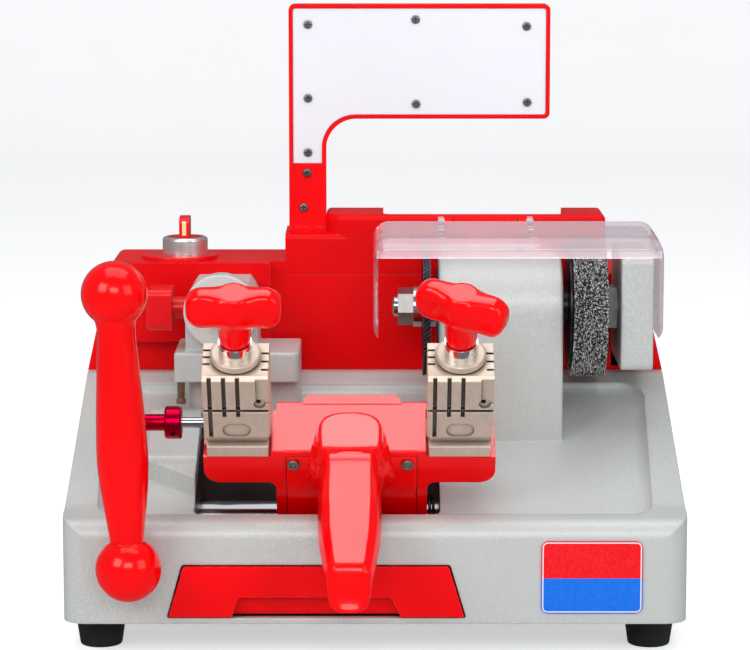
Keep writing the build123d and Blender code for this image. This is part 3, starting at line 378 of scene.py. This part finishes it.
def clear_acrylic():
    """Clear sheet letting shadow rays through, painted reflection on front, back and top faces.
    """
    g = Graph("clear_acrylic")
    fresnel = g.node("Fresnel", {"IOR": 1.49}).outputs["Fac"]
    facing = g.node("LayerWeight", {"Blend": 0.35}).outputs["Facing"]
    _, normal_y, normal_z = g.axes(g.node("NewGeometry").outputs["Normal"])
    # Painted reflection: a pale pink layer on faces turned front, back or up, over slight haze
    front_back = g.mul(g.greater(g.math("ABSOLUTE", normal_y), 0.82), 0.30)
    top = g.mul(g.math("MAXIMUM", normal_z, 0.0), 0.27)
    haze_and_glare = g.add(0.02, g.add(front_back, top))
    haze_and_glare = g.add(haze_and_glare, g.mul(g.noise(scale=40), 0.04))
    haze_and_glare = g.math("MINIMUM", g.add(haze_and_glare, g.mul(facing, 0.05)), 0.8)
    clear = g.node("BsdfTransparent", {"Color": (0.985, 0.955, 0.975)}).outputs[0]
    haze_glare_layer = g.principled(color=(0.97, 0.85, 0.90), roughness=0.28, specular=0.3)
    gloss = g.node("BsdfGlossy", {
        "Color": (1, 0.97, 0.99),
        "Roughness": g.remap(g.noise(scale=120), low=0.03, high=0.09)}).outputs[0]
    reflection = g.math("MINIMUM", g.mul(fresnel, 0.7), 0.8)
    visible = g.mix_shaders(reflection, g.mix_shaders(haze_and_glare, clear, haze_glare_layer), gloss)
    shadow = g.node("BsdfTransparent", {"Color": (0.98, 0.96, 0.97)}).outputs[0]
    is_shadow = g.node("LightPath").outputs["Is Shadow Ray"]
    g.finish(g.mix_shaders(is_shadow, visible, shadow))


def bristle():
    """Black and pale bristles, picked by the mesh's shade attribute."""
    g = Graph("bristle")
    value = g.node("Attribute", attribute_name="shade").outputs["Fac"]
    color = g.ramp(value, low=0.58, high=0.68,
                   colors=((0.008, 0.008, 0.009), (0.70, 0.70, 0.70)))
    color = g.mix(g.mul(g.noise(scale=2500, detail=2), 0.15), color, (0.06, 0.06, 0.06))
    g.finish(g.principled(color=color, roughness=0.55, sheen=0.2))


def studio_floor():
    """Pale matt floor that glows only when seen directly by the camera."""
    g = Graph("studio_floor")
    color = g.mix(g.ramp(g.noise(scale=6), low=0.3, high=0.8),
                  (0.83, 0.835, 0.84), (0.87, 0.87, 0.875))
    seen = g.node("LightPath").outputs["Is Camera Ray"]
    g.finish(g.principled(
        color=color, roughness=0.8, specular=0.1,
        emission=(0.97, 0.98, 1.0), emission_strength=g.mul(seen, 0.52),
        normal=g.bump(g.noise(scale=160), distance=0.0002, strength=0.2)))


red_paint("red_paint", deep=(0.70, 0.0, 0.002), bright=(0.86, 0.0, 0.003),
          roughness=0.38, coat=0.12, wear=0.35, specular=0.10)
red_paint("red_carriage", deep=(0.76, 0.0, 0.002), bright=(0.88, 0.0, 0.003),
          roughness=0.32, coat=0.9, wear=0.15, specular=0.10)
red_paint("red_gloss", deep=(0.80, 0.0, 0.001), bright=(0.92, 0.0, 0.002),
          roughness=0.22, coat=1.0, wear=0.1, specular=0.12, peel=0.00010, peel_scale=170)
RED_PLASTIC = dict(color=(0.74, 0.0, 0.004), roughness=0.32, coat=0.15, variation=0.06)
plastic("red_plastic", **RED_PLASTIC)
handle_low, handle_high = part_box("selector_handle")
plastic("selector_red", **RED_PLASTIC,
        line=dict(centre_x=(handle_low.x + handle_high.x) / 2, half_width=0.0012,
                  below_y=handle_low.y + 0.0012, above_z=handle_high.z - 0.0105,
                  color=(0.86, 0.66, 0.36)))
hammertone()
steel("zinc_plate", (0.6, 0.61, 0.62), roughness=0.38, stretch=(1, 8, 1))
plastic("foot_rubber", (0.018, 0.018, 0.019), roughness=0.62, grain=1600, relief=0.00008,
        variation=0.3)
# Dark screw heads, with painted shade in their recesses
steel("dark_screw", (0.24, 0.25, 0.26), roughness=0.34, variation=0.2,
      crevice_shade=dict(distance=0.0012, color=(0.02, 0.02, 0.02), gain=1.6))
plastic("circuit_board", (0.78, 0.8, 0.77), roughness=0.45)
steel("brushed_bezel", (0.80, 0.80, 0.81), roughness=0.3, stretch=(1, 1, 14), metallic=0.85)
plastic("black_plastic", (0.02, 0.02, 0.02), roughness=0.48, grain=1800, relief=0.00006)
plastic("motor_paint", (0.07, 0.075, 0.085), roughness=0.42)
steel("polished_steel", (0.52, 0.52, 0.54), roughness=0.16, stretch=(0.3, 9, 9))
steel("dial_aluminium", (0.60, 0.625, 0.62), roughness=0.42, stretch=(9, 1, 9), metallic=0.15)
steel("machined_aluminium", (0.78, 0.79, 0.8), roughness=0.27, stretch=(9, 1, 9))
plastic("belt_rubber", (0.02, 0.02, 0.02), roughness=0.6, grain=1200, relief=0.0001)
belt_ribbed()
steel("cutter_steel", (0.105, 0.115, 0.13), roughness=0.32, stretch=(10, 1, 1), variation=0.2)
steel("zinc_nut", (0.33, 0.325, 0.31), roughness=0.36, stretch=(3, 1, 1),
      grime=(0.18, 0.155, 0.12))
steel("black_steel", (0.045, 0.045, 0.05), roughness=0.34, variation=0.2)
steel("brass_screw", (0.40, 0.34, 0.22), roughness=0.3, stretch=(1, 1, 9),
      grime=(0.12, 0.09, 0.05))
steel("bronze_bush", (0.5, 0.32, 0.14), roughness=0.35)
# Nickel jaws, with painted shade in their slots and gaps
steel("jaw_nickel", (0.75, 0.625, 0.515), roughness=0.40, stretch=(1, 1, 0.25), metallic=0.55,
      variation=0.05, relief=0.00002, bevel=0.0007, scale=240,
      crevice_shade=dict(distance=0.004, color=(0.05, 0.038, 0.03), gain=1.5))
steel("chrome", (0.80, 0.80, 0.81), roughness=0.07, variation=0.03,
      lower=dict(height=141.35, color=(0.68, 0.57, 0.47), roughness=0.38, metallic=0.5))
steel("spring_steel", (0.045, 0.045, 0.047), roughness=0.3)
steel("rod_steel", (0.27, 0.27, 0.29), roughness=0.13, stretch=(0.3, 9, 9))
steel("red_anodised", (0.55, 0.0, 0.035), roughness=0.26, stretch=(9, 1, 1), variation=0.15)
white_panel()
plate_print()
clear_acrylic()
bristle()


# ------------------------------------------------------------------ mesh helpers
def tilted(x, y, z):
    """Upright carriage millimetres, rod axis at y = z = 0, to tilted metres."""
    c, s = math.cos(TILT), math.sin(TILT)
    return Vector((x, ROD.y + y * c - z * s, ROD.z + y * s + z * c)) / 1000


def set_smooth(mesh, smooth):
    for polygon in mesh.polygons:
        polygon.use_smooth = smooth


def raw_object(name, verts, faces):
    mesh = bpy.data.meshes.new(name)
    mesh.from_pydata([tuple(v) for v in verts], [], faces)
    mesh.update()
    obj = bpy.data.objects.new(name, mesh)
    bpy.context.scene.collection.objects.link(obj)
    return obj


def clean_object(name, verts, faces, smooth=True):
    """Mesh object with doubled points merged and normals facing out."""
    obj = raw_object(name, verts, faces)
    bm = bmesh.new()
    bm.from_mesh(obj.data)
    bmesh.ops.remove_doubles(bm, verts=bm.verts, dist=1e-7)
    bmesh.ops.recalc_face_normals(bm, faces=bm.faces)
    bm.to_mesh(obj.data)
    bm.free()
    set_smooth(obj.data, smooth)
    return obj


def band(i, j, n):
    """Quads between rings i and j of n points each."""
    return [(i * n + k, i * n + (k + 1) % n, j * n + (k + 1) % n, j * n + k) for k in range(n)]


def ring_faces(count, n):
    """Quads through count rings, the last joined back to the first."""
    return [quad for i in range(count) for quad in band(i, (i + 1) % count, n)]


def loft(rings):
    """Solid through rings of equal point count, ends capped."""
    n, last = len(rings[0]), len(rings) - 1
    faces = [quad for i in range(last) for quad in band(i, i + 1, n)]
    faces.append(tuple(range(n - 1, -1, -1)))
    faces.append(tuple(range(last * n, (last + 1) * n)))
    return [point for ring in rings for point in ring], faces


def superellipse(half_x, half_y, exponent, count):
    points = []
    for i in range(count):
        angle = 2 * math.pi * i / count
        c, s = math.cos(angle), math.sin(angle)
        points.append((math.copysign(abs(c) ** (2 / exponent), c) * half_x,
                       math.copysign(abs(s) ** (2 / exponent), s) * half_y))
    return points


def wheel_ring(x, centre, radii):
    """Ring about an X axis, one radius per point."""
    angles = [2 * math.pi * i / len(radii) for i in range(len(radii))]
    return [(x, centre[0] + r * math.cos(a), centre[1] + r * math.sin(a))
            for r, a in zip(radii, angles)]


def spline(table, steps):
    """Catmull-Rom rows through the rows of a table."""
    rows = []
    for i in range(len(table) - 1):
        stations = (table[max(i - 1, 0)], table[i], table[i + 1],
                    table[min(i + 2, len(table) - 1)])
        for j in range(steps):
            t = j / steps
            rows.append([
                0.5 * ((2 * p1) + (-p0 + p2) * t + (2 * p0 - 5 * p1 + 4 * p2 - p3) * t * t
                       + (-p0 + 3 * p1 - 3 * p2 + p3) * t ** 3)
                for p0, p1, p2, p3 in zip(*stations)])
    return rows + [list(table[-1])]


def modify(obj, kind, **settings):
    modifier = obj.modifiers.new(kind, kind)
    for key, value in settings.items():
        setattr(modifier, key, value)


def bake(obj):
    """Apply the modifiers and shade smooth."""
    depsgraph = bpy.context.evaluated_depsgraph_get()
    mesh = bpy.data.meshes.new_from_object(obj.evaluated_get(depsgraph))
    obj.modifiers.clear()
    obj.data = mesh
    set_smooth(mesh, True)


def organic(name, parts, voxel, smoothing):
    """Parts joined, remeshed to one skin and relaxed."""
    verts, faces = [], []
    for part_verts, part_faces in parts:
        start = len(verts)
        verts += part_verts
        faces += [tuple(i + start for i in face) for face in part_faces]
    obj = clean_object(name, verts, faces)
    modify(obj, "REMESH", mode="VOXEL", voxel_size=voxel)
    modify(obj, "SMOOTH", factor=0.5, iterations=smoothing)
    bake(obj)
    return obj


def paint(obj, key):
    obj.data.materials.clear()
    obj.data.materials.append(MATERIALS[key])


def install(obj, key, body, cad):
    paint(obj, key)
    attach(obj, body)
    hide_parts(cad)


# --------------------------------------------------------------------- CAD nodes
# Pieces painted otherwise than their recorded material slot
PAINTED = {"carriage_body": "red_carriage", "carriage_rod": "rod_steel",
           "selector_handle": "selector_red", "tracer_dial": "dial_aluminium",
           "drive_belt": "belt_ribbed"}
for node_name, node_object in NODES.items():
    paint(node_object, PAINTED.get(node_name) or SLOT_OF[node_name])


# -------------------------------------------------------------------- ball lever
def ball_lever():
    """Swelling grip between two balls, the lower centred on the swing joint. mm."""
    pivot = joint_mm("lever_swing")
    lean = Matrix.Rotation(math.radians(-2.2), 3, "Y")
    lower_radius, upper_radius = 17.8, 17.6
    upper_centre = 148.4
    lower_end, upper_start = 15.4, 134.95  # heights where the balls meet the grip
    ball_steps, segments = 30, 96
    grip = [  # height, radius
        (15.6, 9.2), (21, 9.8), (34, 11.6), (47.6, 13.1), (61, 13.75), (80.6, 13.1), (96, 12.15),
        (111, 11.2), (121, 10.45), (126.5, 10.25), (130.4, 10.3), (133.2, 10.75), (134.9, 11.35)]

    profile = []  # radius, height
    end_angle = math.acos(lower_end / lower_radius)
    for i in range(1, ball_steps + 1):
        a = math.pi - (math.pi - end_angle) * i / ball_steps
        profile.append((lower_radius * math.sin(a), lower_radius * math.cos(a)))
    profile += [(radius, height) for height, radius in spline(grip, 6)[:-1]]
    start_angle = math.acos((upper_start - upper_centre) / upper_radius)
    for i in range(ball_steps):
        a = start_angle * (1 - i / ball_steps)
        profile.append((upper_radius * math.sin(a), upper_centre + upper_radius * math.cos(a)))

    angles = [2 * math.pi * k / segments for k in range(segments)]
    rings = [[(lean @ Vector((r * math.cos(a), r * math.sin(a), z)) + pivot) / 1000
              for a in angles] for r, z in profile]
    install(clean_object("ball_lever_grip", *loft(rings)), "red_gloss", "lever", "ball_lever")


ball_lever()

# ------------------------------------------------------------------- clamp knobs
# Upright carriage mm. The wing is a bar along X with rounded tips.
KNOB_Y = -16.5
TIP_RADIUS = 8.0
TIP_CENTRE = 17.4  # along X from the stem axis
TIP_RISE = 2.6  # half the straight height at the very tip
WING_HALF_LENGTH = TIP_CENTRE + TIP_RADIUS
WING_HALF_HEIGHT = TIP_RISE + TIP_RADIUS
WING_Z = 173.0
STEM = [(149.1, 7.4), (149.8, 8.3), (153, 8.6), (158, 8.9), (163, 9.6), (168, 10.6),
        (174, 11.2), (180, 10.4), (183.4, 8.0)]  # height, radius


def swell(distance, width):
    """Bell curve, 1 at no distance."""
    return math.exp(-(distance / width) ** 2)


def wing_knob(side, stem_x, turn):
    turning = Matrix.Rotation(math.radians(turn), 3, "Z")

    def place(x, y, z):
        turned = turning @ Vector((x, y, z))
        return tilted(turned.x + stem_x, turned.y + KNOB_Y, turned.z)

    steps, thinnest = 48, 0.05
    wing = []
    for i in range(steps + 1):
        u = -1 + 2 * i / steps
        x = WING_HALF_LENGTH * math.sin(u * math.pi / 2)
        closing = math.sqrt(max(0.0, 1 - abs(u) ** 5.5))
        half_depth = (7.2 + 4.2 * swell(x, 8.5)) * closing + thinnest
        past_centre = max(0.0, abs(x) - TIP_CENTRE)
        arc = math.sqrt(max(0.0, TIP_RADIUS ** 2 - past_centre ** 2))
        tip = (TIP_RISE + arc) / WING_HALF_HEIGHT * (closing ** 0.35)
        # Fuller near the tips, waisted at the stem
        full_height = WING_HALF_HEIGHT + 0.9 * swell(abs(x) - 17, 7) - 0.7 * swell(x, 6.0)
        half_height = full_height * tip + thinnest
        centre_z = WING_Z - 0.9 * (x / 25.0) ** 2 + 2.4 * (1 - tip)
        wing.append([place(x, y, centre_z + z)
                     for y, z in superellipse(half_depth, half_height, exponent=3.0, count=44)])
    angles = np.linspace(0, 2 * math.pi, 48, endpoint=False)
    stem = [[place(r * math.cos(a), r * math.sin(a), z) for a in angles] for z, r in STEM]
    knob = organic(side + "_wing_knob", [loft(wing), loft(stem)], voxel=0.0006, smoothing=12)
    install(knob, "red_gloss", side + "_knob", side + "_clamp_knob")


wing_knob("left", stem_x=-74.5, turn=0.0)
wing_knob("right", stem_x=45.9, turn=-25.0)


# ----------------------------------------------------------------- bristle brush
def bristle_brush():
    """Ring hub with tapered square bristles. Metres."""
    bore, hub_radius, hub_inset = 0.0076, 0.0372, 0.0012
    hub_segments, hub_shade = 96, 0.3
    bristles = 16000
    root_radius, root_inset = 0.0366, 0.0007
    tip_radius, tip_spread, tip_inset = 0.0393, 0.0011, 0.0004
    splay, stray_x, stray_angle = 0.0012, 0.0004, 0.012
    thin, thickness_spread, tip_taper = 0.00018, 0.00009, 0.8  # half widths
    bristle_faces = ((0, 3, 2, 1), (4, 5, 6, 7), (0, 1, 5, 4), (1, 2, 6, 5), (2, 3, 7, 6),
                     (3, 0, 4, 7))

    low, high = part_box("bristle_brush")
    centre_y, centre_z = (low.y + high.y) / 2, (low.z + high.z) / 2
    rng = random.Random(11)
    left, right = low.x + hub_inset, high.x - hub_inset
    verts = []
    for x, r in ((left, bore), (left, hub_radius), (right, hub_radius), (right, bore)):
        verts += wheel_ring(x, (centre_y, centre_z), [r] * hub_segments)
    faces = ring_faces(4, hub_segments)
    shades = [hub_shade] * len(verts)

    for _ in range(bristles):
        root_angle = rng.random() * 2 * math.pi
        u = rng.random()
        root_x = low.x + root_inset + u * (high.x - low.x - 2 * root_inset)
        tip_r = tip_radius + rng.random() * tip_spread
        tip_angle = root_angle + rng.uniform(-stray_angle, stray_angle)
        tip_x = root_x + (u - 0.5) * splay + rng.uniform(-stray_x, stray_x)
        tip_x = min(max(tip_x, low.x + tip_inset), high.x - tip_inset)
        half = thin + rng.random() * thickness_spread
        start = len(verts)
        for r, angle, x, w in ((root_radius, root_angle, root_x, half),
                               (tip_r, tip_angle, tip_x, half * tip_taper)):
            for dx, dt in ((-w, -w), (w, -w), (w, w), (-w, w)):
                a = angle + dt / r
                verts.append((x + dx, centre_y + r * math.cos(a), centre_z + r * math.sin(a)))
        shades += [rng.random()] * 8
        faces += [tuple(start + i for i in face) for face in bristle_faces]

    brush = raw_object("brush_bristles", verts, faces)
    brush.data.attributes.new("shade", "FLOAT", "POINT").data.foreach_set("value", shades)
    brush.data.update()
    install(brush, "bristle", "spindle", "bristle_brush")


bristle_brush()


# ------------------------------------------------------------------------ cutter
def cutter():
    """Wheel with slanting teeth and a recess in each side face. Metres."""
    teeth, per_tooth = 88, 6
    points = teeth * per_tooth
    depth, crest = 0.0019, 0.86  # crest: fraction of a tooth before the steep side
    rim_inset, rim_steps = 0.0003, 7
    twist = 2 * math.pi / teeth * 1.6  # across the wheel's width
    side = [  # inset from the side face, radius
        (0.0004, 0.0076), (0.0004, 0.0125), (0.0012, 0.0132), (0.0012, 0.031), (0.0003, 0.0330)]
    low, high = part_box("cutter")
    centre = ((low.y + high.y) / 2, (low.z + high.z) / 2)
    outer = (high.z - low.z) / 2 - 0.00002

    def tooth_radius(angle):
        f = (angle * teeth / (2 * math.pi)) % 1.0
        return outer - depth * (f ** 1.4 if f < crest else (1 - f) / (1 - crest))

    rings = [wheel_ring(low.x + inset, centre, [r] * points) for inset, r in side]
    rim = np.linspace(low.x + rim_inset, high.x - rim_inset, rim_steps)
    for x in rim:
        turn = twist * (x - rim[0]) / (rim[-1] - rim[0])
        radii = [tooth_radius(2 * math.pi * i / points + turn) for i in range(points)]
        rings.append(wheel_ring(x, centre, radii))
    rings += [wheel_ring(high.x - inset, centre, [r] * points) for inset, r in reversed(side)]
    verts = [point for ring in rings for point in ring]
    wheel = clean_object("cutter_wheel", verts, ring_faces(len(rings), points), smooth=False)
    install(wheel, "cutter_steel", "spindle", "cutter")


cutter()

# ------------------------------------------------------------------ paddle lever
# Upright carriage mm, x from the paddle's centre line.
PADDLE_X = -13.5
ARM = [  # y, top z, bottom z, half width of the top face, half width at the flanks
    (-30, 93.8, 60, 11.8, 16.6), (-44, 94.2, 57, 11.8, 16.6), (-52, 92.3, 58, 11.6, 16.8),
    (-62, 90.0, 60.5, 11.4, 17.0), (-76, 86.9, 61.5, 11.2, 17.2), (-90, 83.9, 62.0, 10.6, 16.8),
    (-101, 81.5, 62.3, 9.5, 15.3), (-109, 79.8, 62.3, 8.6, 14.0), (-114, 78.6, 62.1, 7.9, 13.0),
    (-116.8, 76.7, 61.9, 7.6, 12.4), (-121.2, 71.9, 61.3, 7.6, 11.8),
    (-126.2, 66.4, 60.4, 7.2, 10.6), (-129.8, 63.2, 60.4, 5.6, 8.2),
    (-131.6, 62.0, 61.0, 2.8, 4.4)]
CAP = [(83.0, 3.4), (86.0, 2.2), (90.0, 0.9), (93.4, 0.2), (94.9, -0.6), (95.4, -1.8)]  # z, grow
CAP_HALF_WIDTH, CAP_DEPTH, CAP_MID_Y, CAP_FRONT_Y = 17.0, 12.6, -26.0, -42.6
WING = [  # three rings from the cap down to the flange: x outwards, y, z
    [(8, -42.5, 92.5), (17.6, -39.0, 92.0), (20.8, -33.2, 88.6), (20.8, -29.8, 86.5),
     (8, -29.8, 90)],
    [(8, -48.5, 74.0), (18.6, -42.5, 74.5), (22.6, -36.5, 75.5), (23.2, -32.6, 75.5),
     (8, -32.6, 75)],
    [(8, -46.5, 58.0), (18.4, -39.0, 60.0), (23.6, -34.6, 63.0), (25.2, -32.6, 64.0),
     (8, -32.6, 58)]]


def arm_ring(y, top, bottom, flat, flank):
    """Flat top face with sloping flanks."""
    height = top - bottom
    right = [(flat * 0.5, top + 0.15), (flat, top),
             (flat + (flank - flat) * 0.62, top - height * 0.16), (flank, top - height * 0.46),
             (flank * 0.97, top - height * 0.72), (flank * 0.82, bottom + height * 0.06),
             (flank * 0.5, bottom)]
    left = [(-x, z) for x, z in reversed(right)]
    section = left[-2:] + [(0, top + 0.2)] + right + [(0, bottom - 0.2)] + left[:-2]
    return [tilted(PADDLE_X + x, y, z) for x, z in section]


def cap_ring(z, grow):
    """Outline round to the back and nearly square to the front."""
    half_width = CAP_HALF_WIDTH + grow
    front = CAP_FRONT_Y - min(grow, 0.0) * 0.4
    outline = []
    for angle in np.linspace(0, math.pi, 25):
        c, s = math.cos(angle), math.sin(angle)
        outline.append((math.copysign(abs(c) ** 0.8, c) * half_width,
                        CAP_MID_Y + (s ** 0.8) * (CAP_DEPTH + grow * 0.8)))
    outline += [(-half_width, CAP_MID_Y - 4), (-half_width, -34.0), (-half_width + 0.8, front),
                (0, front - 0.2),
                (half_width - 0.8, front), (half_width, -34.0), (half_width, CAP_MID_Y - 4)]
    return [tilted(PADDLE_X + x, y, z) for x, y in outline]


def flared_wing(side):
    """Wing on one side, -1 left or 1 right, flaring from the cap into the flange."""
    rings = [[tilted(PADDLE_X + side * x, y, z) for x, y, z in ring[::side]] for ring in WING]
    return loft(rings)


def slab(name, x_range, y_range, z_range):
    verts = [tilted(x, y, z) for x in x_range for y in y_range for z in z_range]
    faces = [(0, 1, 3, 2), (4, 6, 7, 5), (0, 4, 5, 1), (2, 3, 7, 6), (0, 2, 6, 4), (1, 5, 7, 3)]
    return clean_object(name, verts, faces, smooth=False)


def paddle_arm():
    parts = [loft([arm_ring(*station) for station in spline(ARM, 4)]),
             loft([cap_ring(z, grow) for z, grow in CAP]),
             flared_wing(-1), flared_wing(1)]
    arm = organic("paddle_arm", parts, voxel=0.00075, smoothing=5)
    # Shallow groove between the cap and the arm's top face
    groove = slab("groove_tool", (PADDLE_X - 15, PADDLE_X + 15), (-45.6, -43.0), (93.4, 99))
    modify(arm, "BOOLEAN", operation="DIFFERENCE", object=groove, solver="EXACT")
    bake(arm)
    bpy.data.objects.remove(groove)
    install(arm, "red_gloss", "carriage", "paddle_lever")


def paddle_flange():
    """Plate let into the front of the carriage."""
    flange = slab("paddle_flange", (-48.2, 22.7), (-33.6, -30.4), (22.4, 79.4))
    modify(flange, "BEVEL", width=0.0007, segments=3, limit_method="ANGLE")
    bake(flange)
    set_smooth(flange.data, False)
    install(flange, "red_gloss", "carriage", "paddle_lever")


paddle_arm()
paddle_flange()


# ------------------------------------------------------------------------ lights
def area_light(name, place, target, size, power):
    light = bpy.data.lights.new(name, "AREA")
    light.energy = power
    light.shape = "RECTANGLE"
    light.size, light.size_y = size
    obj = bpy.data.objects.new(name, light)
    obj.location = place
    aim = Vector(target) - Vector(place)
    obj.rotation_euler = aim.to_track_quat("-Z", "Y").to_euler()
    bpy.context.scene.collection.objects.link(obj)
    return obj


def sheen_light(name, power, group_name, pieces):
    """Overhead panel seen only as a reflection in the named pieces."""
    light = area_light(name, (0.0, -0.13, 1.30), (0, -0.13, 0.15), size=(1.0, 0.9), power=power)
    light.visible_diffuse = False
    light.visible_camera = False
    group = bpy.data.collections.new(group_name)
    for obj in list(NODES.values()) + list(bpy.context.scene.objects):
        if obj.name.split(".")[0] in pieces and obj.name not in group.objects:
            group.objects.link(obj)
    light.light_linking.receiver_collection = group


area_light("top_soft", (0.0, -0.1, 1.25), (0, 0, 0.1), size=(1.1, 0.8), power=6.2)
area_light("key_left", (-1.0, -1.2, 0.9), (0, 0, 0.12), size=(0.7, 0.7), power=9)
area_light("fill_right", (1.15, -1.0, 0.7), (0, 0, 0.12), size=(0.8, 0.8), power=5)
area_light("front_soft", (0.0, -1.9, 0.9), (0, 0, 0.1), size=(0.9, 0.5), power=10)
sheen_light("top_sheen", power=20.5, group_name="sheen_receivers",
            pieces=("carriage_body", "paddle_arm", "paddle_flange"))
sheen_light("knob_sheen", power=8, group_name="knob_receivers",
            pieces=("left_wing_knob", "right_wing_knob"))


# ------------------------------------------------------- world, floor and camera
def studio_world():
    """Soft fill, dimmer in reflections so that the reds stay deep."""
    fill, glossy_drop, camera_gain = 0.46, 0.28, 0.5
    world = bpy.data.worlds.new("studio")
    bpy.context.scene.world = world
    world.use_nodes = True
    g = Nodes(world.node_tree)
    ray = g.node("LightPath").outputs
    strength = g.sub(fill, g.mul(ray["Is Glossy Ray"], glossy_drop))
    strength = g.add(strength, g.mul(ray["Is Camera Ray"], camera_gain))
    background = world.node_tree.nodes["Background"]
    g.feed(background.inputs[0], (0.95, 0.965, 0.98))
    g.feed(background.inputs[1], strength)


def studio_sweep():
    """Floor curving up into a backdrop. Metres."""
    half_width, front, curve_start, curve_radius, top = 4.0, -4.0, 2.8, 0.8, 3.4
    section = [(front, 0.0)]  # y, z
    for a in np.linspace(0, math.pi / 2, 16):
        section.append((curve_start + curve_radius * math.sin(a),
                        curve_radius - curve_radius * math.cos(a)))
    section.append((curve_start + curve_radius, top))
    verts = [(x, y, z) for x in (-half_width, half_width) for y, z in section]
    n = len(section)
    floor = raw_object("floor", verts, [(i, i + 1, n + i + 1, n + i) for i in range(n - 1)])
    set_smooth(floor.data, True)
    paint(floor, "studio_floor")
    floor.visible_glossy = False


def camera():
    """Long lens in front of the base, looking slightly down."""
    from_base_front, height = -1587, 421.3  # mm
    look_down = 8.5  # degrees
    data = bpy.data.cameras.new("camera")
    data.sensor_width = 36
    data.lens = 144
    data.clip_start = 0.05
    obj = bpy.data.objects.new("camera", data)
    obj.location = (0, (from_base_front + BASE_FRONT) / 1000, height / 1000)
    obj.rotation_euler = (math.radians(90 - look_down), 0, 0)
    bpy.context.scene.collection.objects.link(obj)
    bpy.context.scene.camera = obj


studio_world()
studio_floor()
studio_sweep()
camera()
bpy.context.scene.view_settings.view_transform = "Standard"
